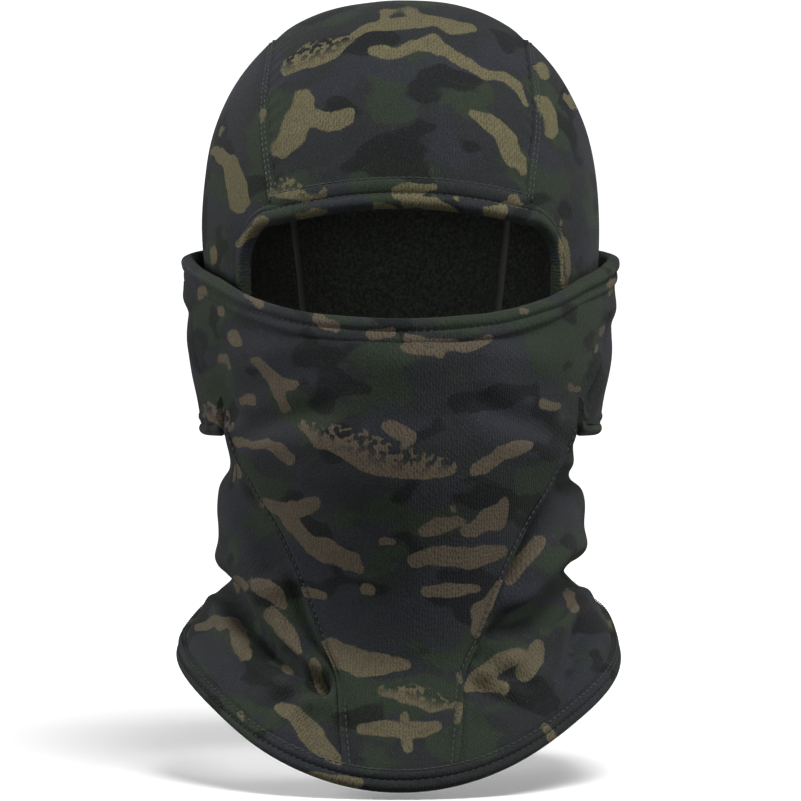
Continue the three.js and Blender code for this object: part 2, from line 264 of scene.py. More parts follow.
@dataclass
class Form:
    """The wearer's shape under the cloth: level superellipse sections that change with height."""

    s: Sizes

    def __post_init__(self) -> None:
        """Lays the curves that the panels share."""
        s = self.s
        self.stand_curve = Curve(
            (0, 0.92), (0.15, 1), (0.35, 0.92), (0.53, 0.76), (0.71, 0.5), (0.85, 0.2),
            (1, -0.05), (1.1, -0.2),
        )
        self.nose_curve = Curve((0, 0.3), (0.2, 0.47), (0.41, 0.82), (0.68, 1), (1, 0.82))
        self.lip_rise = Curve((0, 0), (20, 0.07), (40, 0.3), (57, 0.62), (90, 1), (s.wing_back_angle, 1.1))
        self.mask_end = Curve(
            (0, s.mask_end_z), (50, s.mask_end_z - 1), (s.fold_end, s.wing_end_z), (90, s.wing_end_z),
            (s.wing_back_angle, s.wing_end_z + 8),
        )
        self.hem_z = Curve((0, s.hem_front_z), (90, s.hem_side_z), (180, s.hem_back_z))
        self.bib_angle = Curve(
            (0, s.fold_end), (0.2, 52), (0.35, 41), (0.5, 32), (0.62, 26), (0.75, 18), (1, 13)
        )
        self.puff = Curve((0.1, -0.4), (0.2, -0.4), (0.3, 0.6), (0.42, 1), (0.58, 0.6), (0.69, 0))
        self.side_bend = Curve((0, 0), (0.2, 1), (0.7, 1))
        self.bib_bend = Curve((0, 0), (0.2, 0.52), (0.35, 0.8), (0.58, 1))
        self.front_bend = Curve((0, 0), (0.15, 0.11), (0.3, 0.44), (0.5, 0.85), (0.65, 1))
        self.back_bend = Curve((0, 0), (0.3, 0.7), (0.6, 1))
        self.side_flare = Curve((0.69, 0), (0.76, 0.22), (0.82, 0.53), (0.88, 0.81), (0.94, 0.94), (1, 1))
        self.deep_flare = Curve((0.65, 0), (0.82, 0.42), (1, 1))
        ratio = s.strip_at_top * 1.02 / s.half_width
        reach = (1 - ratio**s.crown_power) ** (1 / s.crown_power)
        self.seam_top_z = mix(s.widest_z, s.crown_rise, reach)
        self.strip_front = Curve(
            (s.brow_edge_z, s.strip_at_brow),
            (mix(s.brow_edge_z, self.seam_top_z, 0.6), s.strip_at_top + 2),
            (self.seam_top_z, s.strip_at_top),
        )
        self.strip_back = Curve(
            (s.hood_end_z, s.strip_at_nape),
            (mix(s.hood_end_z, self.seam_top_z, 0.38), s.strip_at_nape + 7),
            (self.seam_top_z, s.strip_at_top),
        )

    def hood_level(self, z: Array) -> tuple[Array, Array, Array]:
        """Half width, front and back depth of the hood at a height.

        The crown is a superellipse in height, and the jaw draws each side in below the widest line.
        """
        s = self.s
        t = np.clip((z - s.widest_z) / (s.crown_rise - s.widest_z), 0, 1)
        top = (1 - t**s.crown_power) ** (1 / s.crown_power)
        jaw = smooth((s.widest_z - z) / (s.widest_z - s.hood_end_z))
        return (s.half_width - s.jaw_in * jaw) * top, (s.front - s.jaw_front_in * jaw) * top, (
            s.back - s.nape_in * jaw
        ) * top

    def mask_level(self, z: Array) -> tuple[Array, Array, Array]:
        """The mask's section: the hood's widest line plus the stand-off of cheeks and nose."""
        s = self.s
        down = (s.lip_side_z - z) / (s.lip_side_z - s.wing_end_z)
        half = s.half_width + s.side_stand * self.stand_curve(down)
        front = s.front + s.nose_stand * self.nose_curve(down)
        return half, front, np.full_like(half, s.back + s.side_stand)

    def on_section(self, level: tuple[Array, Array, Array], angle: Array, z: Array) -> Array:
        """Points on a section. Angle 0 is the nose, 90 the right side, 180 the nape.

        x is half times the sine to the power 2/n, y the depth times the cosine to 2/n.
        """
        half, front, back = level
        sine, cosine = np.sin(np.radians(angle)), np.cos(np.radians(angle))
        power = 2 / self.s.section_power
        depth = np.abs(cosine) ** power
        x = np.sign(sine) * half * np.abs(sine) ** power
        y = np.where(cosine > 0, -front * depth, back * depth)
        return np.stack(np.broadcast_arrays(x, y, z), axis=-1)

    def angle_at(self, half: Array, x: Array, behind: bool) -> Array:
        """The angle at which a section is x wide, in front or behind."""
        sine = np.minimum(1, np.abs(x) / half) ** (self.s.section_power / 2)
        angle = np.degrees(np.arcsin(sine))
        return 180 - angle if behind else angle

    def seam(self, z: Array, behind: bool) -> Array:
        """Points of the crown seam at heights z."""
        level = self.hood_level(z)
        line = self.strip_back if behind else self.strip_front
        return self.on_section(level, self.angle_at(level[0], line(z), behind), z)

    def ray_of(self, z: float, behind: bool) -> float:
        """The direction of a seam point from the head's middle: 0 ahead, 90 up, 180 behind."""
        p = self.seam(np.array(z), behind)
        ray = math.degrees(math.atan2(p[2] - self.s.widest_z, -p[1]))
        return ray + 360 if ray < -90 else ray

    def strip(self, ray: Array, across: Array) -> Array:
        """The centre strip: rays in planes of constant x, run out to the form by bisection.

        Args:
            ray: the direction in degrees, 0 ahead, 90 up, 180 behind.
            across: from -1 at the left seam to 1 at the right one.

        Returns:
            Points on the hood's outside. Behind the head's middle the rows are level.
        """
        ray, across = np.broadcast_arrays(ray, across)
        fan = self._fan(ray, across)
        z = self._fan(ray, np.ones_like(across))[..., 2]
        level = self.hood_level(z)
        angle = self.angle_at(level[0], across * self.strip_back(z), True) * np.sign(across + 1e-12)
        return np.where((ray > 180)[..., None], self.on_section(level, angle, z), fan)

    def _fan(self, ray: Array, across: Array) -> Array:
        """Halves the reach of each ray until it ends on the form."""
        s = self.s
        arch = s.brow_arch * (1 - across**2) * np.maximum(0, np.cos(np.radians(ray))) ** 2
        c, sn = np.cos(np.radians(ray + arch)), np.sin(np.radians(ray + arch))
        near, far = np.full(ray.shape, 20.0), np.full(ray.shape, 140.0)

        def at(reach: Array) -> Array:
            """The point that far along each ray."""
            z, y = s.widest_z + reach * sn, -reach * c
            half = np.where(y > 0, self.strip_back(z), self.strip_front(z))
            return np.stack([across * half, y, z], axis=-1)

        for _ in range(30):
            reach = (near + far) / 2
            p = at(reach)
            half, front, back = self.hood_level(p[..., 2])
            depth = np.where(p[..., 1] < 0, front, back)
            with np.errstate(divide="ignore", invalid="ignore"):
                size = (
                    np.abs(p[..., 0] / half) ** s.section_power
                    + np.abs(p[..., 1] / depth) ** s.section_power
                )
            outside = (p[..., 2] > s.crown_rise) | (half < 1e-6) | ~(size <= 1)
            near, far = np.where(outside, near, reach), np.where(outside, reach, far)
        return at(near)

    def lip_z(self, angle: Array) -> Array:
        """The height of the mask's top edge, rising from the nose to the cheekbones."""
        return mix(self.s.lip_middle_z, self.s.lip_side_z, self.lip_rise(np.abs(angle)))

    def fold(self, v: Array) -> Array:
        """The angle of the fold between the mask's front and its wing."""
        return mix(self.s.fold_top, self.s.fold_end, v)

    def mask_row(self, angle: Array, v: Array) -> Array:
        """The mask between its lip (v 0) and its lower end (v 1)."""
        size = np.abs(angle)
        z = mix(self.lip_z(size) - self.s.lip_hem + 1, self.mask_end(size), v)
        return self.on_section(self.mask_level(z), angle, z)

    def neck_top(self, angle: Array) -> Array:
        """The height where the neck begins."""
        size = np.abs(angle)
        return np.where(size < self.s.fold_end, self.mask_end(size), self.s.hood_end_z)

    def neck(self, angle: Array, v: Array, is_bib: bool) -> Array:
        """The neck and cape between the mask's end (v 0) and the hem (v 1).

        The bib goes straight on from the mask. The neck panels leave it at its seams, tucked inside.
        """
        s = self.s
        size = np.abs(angle)
        end_half, _, end_back = self.hood_level(np.array(s.hood_end_z))
        mask_half, mask_front, _ = self.mask_level(np.array(s.mask_end_z))
        tuck = 0.0 if is_bib else s.neck_tuck * (1 - smooth(v / 0.16))
        leave = 0.0 if is_bib else smooth((size - self.bib_angle(v)) / 20)
        flare = self.side_flare(v)
        bib_half = mix(mix(mask_half, s.neck_half_width, self.bib_bend(v)), s.cape_half_width, flare)
        neck_half = mix(mix(end_half, s.neck_half_width, self.side_bend(v)), s.cape_half_width, flare)
        neck_half = neck_half + s.neck_fullness * self.puff(v)
        deep = self.deep_flare(v)
        level = (
            mix(bib_half - tuck, neck_half, leave),
            mix(mix(mask_front, s.neck_front, self.front_bend(v)), s.cape_front, deep) - tuck,
            mix(mix(end_back, s.neck_back, self.back_bend(v)), s.cape_back, deep),
        )
        z = mix(self.neck_top(size), self.hem_z(size), v)
        return self.on_section(level, angle, z)


# ---- printed pattern ----------------------------------------------------------------------


@dataclass(frozen=True)
class Blot:
    """One printed shape: a chain of (x, z, radius) points as seen from in front."""

    chain: tuple[tuple[float, float, float], ...]
    speckle: float = 0.0


def blots(*chains: tuple[tuple[float, float, float], ...], speckle: float = 0.0) -> list[Blot]:
    """A list of blots that share one amount of speckle."""
    return [Blot(chain, speckle) for chain in chains]


CROWN_PRINT = [
    *blots(
        ((-50, -60, 5), (-46, -54, 7), (-42, -46, 6), (-40, -40, 5), (-39, -37, 3)),
        ((-42, -48, 6), (-33, -48, 5), (-25, -47, 4.5), (-22, -45, 3)),
        ((-19, -11, 3), (-12, -8, 4), (-4, -6, 4), (4, -7, 3)),
        ((-8, -4, 3), (6, -5, 4), (18, -8, 4), (30, -10, 3)),
        ((-12, -20, 2.5), (-2, -20, 3), (6, -17, 4), (12, -16, 4), (20, -20, 3.5), (28, -24, 3.5),
         (36, -28, 3), (44, -29, 3), (50, -33, 3.5), (54, -41, 2.5)),
        ((30, -46, 3), (36, -49, 4.5), (42, -53, 4), (47, -58, 4.5), (51, -65, 4), (53, -70, 2.5)),
        ((-1, -80, 3), (6, -79, 4), (12, -78, 2.5)),
        ((23, -81, 2.5), (24, -82, 2)),
        ((47, -84, 3), (52, -87, 3)),
        ((-48, -90, 2.5), (-40, -90, 3), (-32, -88, 2.5)),
        ((-12, -86, 3), (-3, -87, 3)),
        ((4, -84, 3), (14, -86, 4.5), (24, -90, 4), (30, -91, 3)),
        ((37, -86, 2.5), (45, -87, 3.5), (52, -92, 3)),
    ),
    *blots(
        ((-48, -24, 5), (-40, -19, 6), (-30, -16, 5), (-22, -13, 3)),
        ((-56, -78, 3), (-48, -76, 5), (-40, -79, 4), (-34, -78, 3)),
        speckle=0.8,
    ),
]
SIDE_PRINT = blots(
    ((-80, -62, 3.5), (-74, -66, 5), (-71, -73, 4.5), (-69, -82, 4), (-70, -86, 2.5)),
    ((-60, -46, 2.5), (-60, -49, 2)),
    ((-76, -52, 2.5), (-77, -54, 2)),
    ((-69, -102, 2.5), (-64, -97, 3), (-59, -91, 3)),
    ((-80, -104, 2.5), (-80, -108, 2)),
    ((62, -26, 3.5), (63, -28, 3)),
    ((62, -38, 3.5), (64, -45, 4), (65, -53, 3.5)),
    ((73, -38, 3.5), (75, -41, 3)),
    ((70, -90, 1.5), (71, -100, 2), (70, -112, 1.8), (70, -122, 1.5)),
    ((58, -105, 2.5), (60, -112, 2.5)),
)
MASK_PRINT = [
    *blots(
        ((-66, -124, 2.5), (-60, -128, 2.5)),
        ((-35, -134, 3), (-27, -137, 3)),
        ((-13, -140, 2.5), (-5, -141, 2.5)),
        ((2, -143, 2.5), (16, -143, 3), (28, -145, 3.5), (38, -142, 3)),
        ((2, -147, 3), (16, -147, 3)),
        ((52, -131, 2), (54, -132, 2)),
        ((-84, -122, 3), (-85, -125, 3)),
        ((-78, -128, 2.5), (-78, -131, 2)),
        ((-73, -141, 3.5), (-70, -144, 3)),
        ((-77, -151, 3), (-75, -155, 3)),
        ((-63, -151, 2.5), (-58, -155, 3), (-54, -160, 4), (-51, -167, 3.5), (-49, -171, 3)),
        ((-54, -160, 3), (-47, -161, 3)),
        ((-66, -168, 3.5), (-65, -170, 3)),
        ((-5, -180, 4), (2, -184, 4.5), (1, -187, 3)),
        ((32, -197, 4), (42, -194, 5), (51, -190, 4), (55, -189, 2.5)),
        ((75, -164, 3), (76, -165, 2.5)),
        ((63, -171, 3.5), (67, -172, 3)),
        ((90, -118, 2.5), (90, -122, 2)),
        ((88, -136, 2), (88, -138, 2)),
        ((85, -144, 2.5), (84, -146, 2)),
        ((-71, -185, 2.5), (-65, -188, 3), (-58, -188, 3), (-52, -191, 3.5), (-47, -194, 2.5)),
    ),
    *blots(
        ((-41, -180, 4), (-32, -184, 7), (-20, -188, 8), (-8, -192, 8), (4, -195, 7), (14, -197, 6),
         (21, -196, 4)),
        ((-83, -172, 4), (-77, -176, 5), (-74, -179, 3)),
        speckle=0.9,
    ),
]
BIB_PRINT = [
    *blots(
        ((-60, -211, 3.5), (-52, -213, 5), (-43, -214, 5), (-36, -212, 3.5)),
        ((-50, -216, 4), (-44, -224, 4), (-40, -229, 4), (-32, -234, 5.5), (-23, -238, 5), (-18, -241, 3)),
        ((-8, -228, 3.5), (-3, -228, 3)),
        ((-15, -249, 3.5), (-12, -250, 3)),
        ((-40, -251, 3.5), (-35, -253, 3)),
        ((11, -224, 3.5), (18, -222, 4), (24, -220, 3)),
        ((21, -215, 2.5), (22, -216, 2)),
        ((27, -224, 4), (34, -220, 6), (42, -218, 5), (45, -214, 3.5)),
        ((6, -238, 4), (14, -236, 5), (24, -235, 5.5), (34, -234, 5), (42, -232, 4)),
        ((12, -250, 3.5), (22, -250, 4.5), (32, -249, 3.5)),
        ((31, -268, 3), (35, -261, 3.5), (39, -253, 3.5), (42, -246, 3)),
        ((-40, -275, 4), (-30, -277, 6), (-18, -280, 6), (-6, -282, 5), (2, -283, 3)),
        ((-17, -308, 3.5), (-8, -309, 4.5), (2, -311, 5), (10, -310, 4), (16, -309, 3)),
        ((0, -305, 3), (1, -311, 4), (2, -318, 3)),
        ((26, -286, 2), (26, -288, 2)),
        ((25, -300, 2.5), (24, -306, 2.5)),
    ),
    *blots(((-7, -293, 4), (4, -296, 5.5), (14, -298, 5), (22, -299, 3)), speckle=0.9),
]
NECK_PRINT = blots(
    ((-71, -198, 3), (-70, -202, 2)),
    ((-69, -247, 3.5), (-67, -248, 3)),
    ((-61, -249, 4.5), (-53, -252, 5), (-50, -255, 3.5)),
    ((-56, -260, 4), (-50, -266, 5), (-45, -272, 4), (-43, -275, 2.5)),
    ((47, -244, 4), (52, -237, 5), (57, -231, 4), (59, -229, 2.5)),
    ((57, -211, 3.5), (58, -214, 3)),
    ((72, -252, 4), (73, -257, 3.5)),
    ((-87, -266, 3), (-79, -264, 3.5), (-72, -265, 3.5), (-68, -271, 4.5), (-65, -277, 4)),
    ((-49, -284, 3), (-47, -286, 2.5)),
    ((-37, -282, 3.5), (-35, -289, 4), (-33, -294, 3)),
    ((-70, -303, 2.5), (-69, -305, 2)),
    ((-52, -300, 3.5), (-46, -304, 5), (-38, -311, 5.5), (-32, -318, 5), (-26, -322, 3)),
    ((-62, -322, 3), (-54, -326, 3.5)),
    ((-38, -329, 3), (-28, -332, 4), (-19, -334, 3)),
    ((31, -292, 4), (37, -286, 5.5), (44, -281, 5), (50, -278, 4)),
    ((36, -291, 4), (44, -292, 3)),
    ((52, -286, 4), (56, -279, 4.5), (59, -275, 3.5)),
    ((62, -309, 3), (65, -314, 3)),
    ((45, -330, 3), (47, -332, 2.5)),
)


@dataclass(frozen=True)
class Print:
    """The tan shapes of the print, as a signed distance in millimetres at each point of cloth."""

    eye_distance: float
    eye_z: float
    edge_wobble: float = 1.1
    wobble_size: float = 6.0
    sway: float = 3.6
    thinner: float = 0.9
    shape_size: tuple[float, float, float] = (19.0, 19.0, 11.0)
    share: float = 0.34

    def seen(self, p: Array) -> Array:
        """Where a point lies in a view from in front, on the plane through the head's middle."""
        near = self.eye_distance / (self.eye_distance + p[..., 1])
        return np.stack([p[..., 0] * near, self.eye_z + (p[..., 2] - self.eye_z) * near], axis=-1)

    def chains(self, p: Array, shapes: list[Blot]) -> tuple[Array, Array]:
        """Signed distance into the nearest blot, and its speckle.

        Distance to a chain is the least, over its links, of the distance to the link less the
        radius there.
        """
        sway = np.stack([layered(p / 14, seed, 3) for seed in (43, 47)], axis=-1)
        flat = (self.seen(p) + sway * self.sway).reshape(-1, 2)
        depth = np.full(len(flat), -30.0)
        speckle = np.zeros(len(flat))
        for blot in shapes:
            for (ax, az, ar), (bx, bz, br) in zip(blot.chain, blot.chain[1:]):
                a, d = np.array([ax, az]), np.array([bx - ax, bz - az])
                near = np.abs(flat - a - d / 2).max(axis=1) < 30
                rel = flat[near] - a
                t = np.clip(rel @ d / max(d @ d, 1e-9), 0, 1)
                off, radius = rel - t[:, None] * d, mix(ar, br, t)
                inside = radius - np.linalg.norm(off, axis=1)
                holes = blot.speckle * smooth(0.55 + 0.8 * off[:, 1] / radius)
                deeper = inside > depth[near]
                depth[near] = np.where(deeper, inside, depth[near])
                speckle[near] = np.where(deeper, holes, speckle[near])
        return depth.reshape(p.shape[:-1]), speckle.reshape(p.shape[:-1])

    def scattered(self, p: Array) -> tuple[Array, Array]:
        """Shapes for the sides and back: the tops of a bent noise, stretched level."""
        bend = np.stack([noise(p / 17, 5), noise(p / 17, 6), noise(p / 17, 7)], axis=-1) * 7
        hill = layered((p + bend) / np.array(self.shape_size), 11, 2)
        return (hill - self.share) * 11, 0.9 * smooth(noise(p / 45, 23) * 4 - 1)

    def fields(self, p: Array, normal: Array, shapes: list[Blot]) -> tuple[Array, Array]:
        """The print over a piece: listed blots where it faces forward, scattered ones elsewhere."""
        facing = smooth((-normal[..., 1] - 0.02) / 0.16)
        placed, placed_speckle = self.chains(p, shapes)
        loose, loose_speckle = self.scattered(p)
        placed = placed - 20 * (1 - facing)
        loose = loose - 20 * facing
        wobble = self.edge_wobble * layered(p / self.wobble_size, 31, 2)
        speckle = np.where(placed > loose, placed_speckle, loose_speckle)
        return np.clip(np.maximum(placed, loose) + wobble - self.thinner, -8, 8), speckle


# ---- meshes -------------------------------------------------------------------------------


@dataclass
class Cloth:
    """A grid of points with the material of its two faces, on its way to being a mesh."""

    outer: Array
    inner: Array
    normal: Array
    uv: Array
    shapes: list[Blot] = field(default_factory=list)


def surface_normals(p: Array) -> Array:
    """Unit normals of a grid, from the cross product of its two directions, facing away from the head."""
    n = unit(np.cross(np.gradient(p, axis=1), np.gradient(p, axis=0)))
    away = p.copy()
    away[..., 2] = np.maximum(0, p[..., 2] - WIDEST_Z)
    return n * np.sign((n * away).sum(-1).mean() or 1.0)


def lengths(p: Array) -> Array:
    """The cloth's own coordinates in millimetres: length along its middle row and down each column."""
    across = np.linalg.norm(np.diff(p, axis=1), axis=-1)
    down = np.linalg.norm(np.diff(p, axis=0), axis=-1)
    u = np.concatenate([np.zeros((len(p), 1)), np.cumsum(across, axis=1)], axis=1)
    u -= u[:, u.shape[1] // 2][:, None]
    v = np.concatenate([np.zeros((1, p.shape[1])), np.cumsum(down, axis=0)], axis=0)
    return np.stack([u, v], axis=-1)


def make_cloth(surface: Array, raise_by: Array | float, thickness: float) -> Cloth:
    """Raises a grid along its normals and gives it an inner face a cloth's thickness behind."""
    base = surface_normals(surface)
    outer = surface + base * np.broadcast_to(raise_by, surface.shape[:2])[..., None]
    normal = surface_normals(outer)
    return Cloth(outer, outer - base * thickness, normal, lengths(surface))


def grid_faces(rows: int, columns: int) -> Array:
    """The quads of a grid, as rows of four point numbers."""
    index = np.arange(rows * columns).reshape(rows, columns)
    corners = (index[:-1, :-1], index[:-1, 1:], index[1:, 1:], index[1:, :-1])
    return np.stack([c.ravel() for c in corners], axis=1)


def rim_faces(rows: int, columns: int) -> Array:
    """The quads that join the edges of two stacked grids."""
    index = np.arange(rows * columns).reshape(rows, columns)
    loop = np.concatenate([index[0, :-1], index[:-1, -1], index[-1, :0:-1], index[:0:-1, 0]])
    after = np.roll(loop, -1)
    layer = rows * columns
    return np.stack([loop, loop + layer, after + layer, after], axis=1)


def signed_volume(points: Array, faces: Array) -> float:
    """Six times the volume inside a mesh of quads, positive where they face outwards."""
    a, b, c, d = (points[faces[:, i]] for i in range(4))
    return float((a * (np.cross(b, c) + np.cross(c, d))).sum())


@dataclass
class Maker:
    """Turns grids into finished Blender pieces."""

    pattern: Print
    materials: dict[str, bpy.types.Material]
    made: list[bpy.types.Object] = field(default_factory=list)

    def mesh(
        self, name: str, points: Array, faces: Array, uv: Array, finishes: list[str],
        finish_of: Array | None = None, tan: Array | None = None, speckle: Array | None = None,
    ) -> bpy.types.Object:
        """Makes one object at the origin from points in millimetres.

        Args:
            name: the piece's name.
            points: its points, one row each.
            faces: its quads.
            uv: the cloth coordinates of each point, in millimetres.
            finishes: the names of its materials.
            finish_of: which of them each face takes.
            tan: depth into the tan print at each point.
            speckle: how speckled the print is there.

        Returns:
            The new object, linked to the scene.
        """
        if signed_volume(points, faces) < 0:
            faces = faces[:, ::-1]
        mesh = bpy.data.meshes.new(name)
        mesh.from_pydata((points * MM).tolist(), [], faces.tolist())
        loops = np.empty(len(mesh.loops), np.int32)
        mesh.loops.foreach_get("vertex_index", loops)
        layer = mesh.uv_layers.new(name="cloth")
        layer.data.foreach_set("uv", (uv[loops] / 100).astype(np.float32).ravel())
        rest = mesh.attributes.new("rest_place", "FLOAT_VECTOR", "POINT")
        rest.data.foreach_set("vector", (points / 100).astype(np.float32).ravel())
        fields = {"print_depth": tan, "print_speckle": speckle}
        for key, values in fields.items():
            if values is None:
                values = np.full(len(points), -8.0 if key == "print_depth" else 0.0)
            mesh.attributes.new(key, "FLOAT", "POINT").data.foreach_set("value", values.astype(np.float32))
        for finish in finishes:
            mesh.materials.append(self.materials[finish])
        if finish_of is not None:
            mesh.polygons.foreach_set("material_index", finish_of.astype(np.int32))
        mesh.polygons.foreach_set("use_smooth", np.ones(len(faces), bool))
        mesh.set_sharp_from_angle(angle=math.radians(50))
        mesh.update()
        piece = bpy.data.objects.new(name, mesh)
        bpy.context.scene.collection.objects.link(piece)
        self.made.append(piece)
        LOG.info("%s: %d points", name, len(points))
        return piece

    def cloth(self, name: str, cloth: Cloth, side: int = 1) -> bpy.types.Object:
        """A bonded panel: printed knit outside, fleece inside, closed round its rim."""
        rows, columns = cloth.outer.shape[:2]
        mirror = np.array([side, 1, 1])
        outer, inner = cloth.outer * mirror, cloth.inner * mirror
        tan, speckle = self.pattern.fields(outer, cloth.normal * mirror, cloth.shapes)
        top = grid_faces(rows, columns)
        bottom = top[:, ::-1] + rows * columns
        rim = rim_faces(rows, columns)
        faces = np.concatenate([top, bottom, rim])
        inside = np.concatenate([np.zeros(len(top)), np.ones(len(bottom)), np.zeros(len(rim))])
        points = np.concatenate([outer.reshape(-1, 3), inner.reshape(-1, 3)])
        both = [np.concatenate([f.ravel(), f.ravel()]) for f in (tan, speckle)]
        uv = np.tile(cloth.uv.reshape(-1, 2), (2, 1))
        return self.mesh(name, points, faces, uv, ["knit", "fleece"], inside, *both)

    def band(
        self, name: str, path: Array, out: Array, inward: Array, profile: Array,
        finish: str = "hem_knit", shapes: list[Blot] | None = None, closed: bool = False,
    ) -> bpy.types.Object:
        """A rolled hem or seam: a closed profile carried along a path.

        Each point is path + inward times the profile's width + out times its height.
        """
        ring = (
            path[:, None] + inward[:, None] * profile[None, :, :1] + out[:, None] * profile[None, :, 1:]
        )
        count, around = ring.shape[:2]
        index = np.arange(count * around).reshape(count, around)
        after = np.roll(index, -1, axis=1)
        rows = np.roll(index, -1, axis=0) if closed else index[1:]
        rows_after = np.roll(after, -1, axis=0) if closed else after[1:]
        base, base_after = (index, after) if closed else (index[:-1], after[:-1])
        faces = np.stack([a.ravel() for a in (base, base_after, rows_after, rows)], axis=1)
        points = ring.reshape(-1, 3)
        if not closed:
            half = around // 2
            for end, flip in ((index[0], True), (index[-1], False)):
                near, far = end[:half], end[::-1][: around - half][:half]
                cap = np.stack([near[:-1], near[1:], far[1:], far[:-1]], axis=1)
                faces = np.concatenate([faces, cap[:, ::-1] if flip else cap])
        along = np.concatenate([[0], np.cumsum(np.linalg.norm(np.diff(path, axis=0), axis=1))])
        girth = np.concatenate([[0], np.cumsum(np.linalg.norm(np.diff(profile, axis=0), axis=1))])
        uv = np.stack(np.broadcast_arrays(along[:, None], girth[None]), axis=-1).reshape(-1, 2)
        tan = speckle = None
        if shapes is not None:
            facing = np.repeat(out, around, axis=0)
            tan, speckle = self.pattern.fields(points, facing, shapes)
        return self.mesh(name, points, faces, uv, [finish], None, tan, speckle)

    def stitches(
        self, name: str, path: Array, out: Array, spacing: float, length: float, radius: float,
        lift: float = 0.0, slant: Array | None = None,
    ) -> bpy.types.Object:
        """A row of thread stitches along a path, each a small rounded bar that dips at both ends.

        Args:
            name: the piece's name.
            path: points along the row.
            out: the cloth's normal at those points.
            spacing: from one stitch to the next.
            length: of each stitch.
            radius: of the thread.
            lift: how far the thread's middle lies above the path.
            slant: a direction at each point that the stitch leans towards, for an overlock row.

        Returns:
            One piece with all the stitches.
        """
        along = np.concatenate([[0], np.cumsum(np.linalg.norm(np.diff(path, axis=0), axis=1))])
        at = np.arange(spacing / 2, along[-1], spacing)

        def sample(values: Array) -> Array:
            """The values at each stitch's middle."""
            return np.stack([np.interp(at, along, values[:, k]) for k in range(3)], axis=1)

        centre, normal = sample(path), unit(sample(out))
        run = unit(sample(np.gradient(path, axis=0)))
        if slant is not None:
            run = unit(run * 0.5 + unit(sample(slant)))
        cross = np.cross(normal, run)
        stations = np.array([-0.5, -0.32, 0.0, 0.32, 0.5])
        swell = np.array([0.35, 0.9, 1.0, 0.9, 0.35])
        dip = np.array([-0.8, 0.1, 0.45, 0.1, -0.8]) * radius
        turn = np.radians(np.arange(6) * 60)
        ring = (
            centre[:, None, None]
            + run[:, None, None] * (stations * length)[None, :, None, None]
            + normal[:, None, None] * (lift + dip)[None, :, None, None]
            + radius * swell[None, :, None, None] * (
                cross[:, None, None] * np.cos(turn)[None, None, :, None]
                + normal[:, None, None] * np.sin(turn)[None, None, :, None]
            )
        )
        around = len(turn)
        index = np.arange(len(stations) * around).reshape(len(stations), around)
        after = np.roll(index, -1, axis=1)
        sides = np.stack([a.ravel() for a in (index[:-1], after[:-1], after[1:], index[1:])], axis=1)
        caps = np.array([[0, 1, 2, 3], [0, 3, 4, 5]])
        last = (len(stations) - 1) * around
        one = np.concatenate([sides, caps[:, ::-1], caps + last])
        per = len(stations) * around
        faces = (one[None] + per * np.arange(len(at))[:, None, None]).reshape(-1, 4)
        points = ring.reshape(-1, 3)
        return self.mesh(name, points, faces, points[:, :2], ["thread"])


def band_profile(
    width: float, ridges: tuple[tuple[float, float, float], ...], depth: float,
    floor: float = 0.3, count: int = 36,
) -> Array:
    """The closed outline of a hem: ridges over a flat back, both drawn in at the ends.

    Args:
        width: from the hem's edge into the cloth.
        ridges: (place, half width, height) of each rounded ridge.
        depth: how far the back lies inside the surface.
        floor: the height between ridges.
        count: points across the top.

    Returns:
        (distance from the edge, height) pairs, once round.
    """
    d = width * (1 - np.cos(np.linspace(0, np.pi, count))) / 2
    top = np.full(count, floor)
    for place, half, height in ridges:
        rise = np.clip(1 - ((d - place) / half) ** 2, 0, 1)
        top = np.maximum(top, floor + (height - floor) * np.sqrt(rise))
    ends = np.sqrt(np.clip(1 - np.abs(2 * d / width - 1) ** 5, 0, 1))
    top = -depth / 2 + (top + depth / 2) * ends
    back = -depth / 2 - depth / 2 * ends
    upper = np.stack([d, top], axis=1)
    lower = np.stack([d, back], axis=1)[::-1]
    return np.concatenate([upper, lower[1:-1]])


# ---- shader maths -------------------------------------------------------------------------


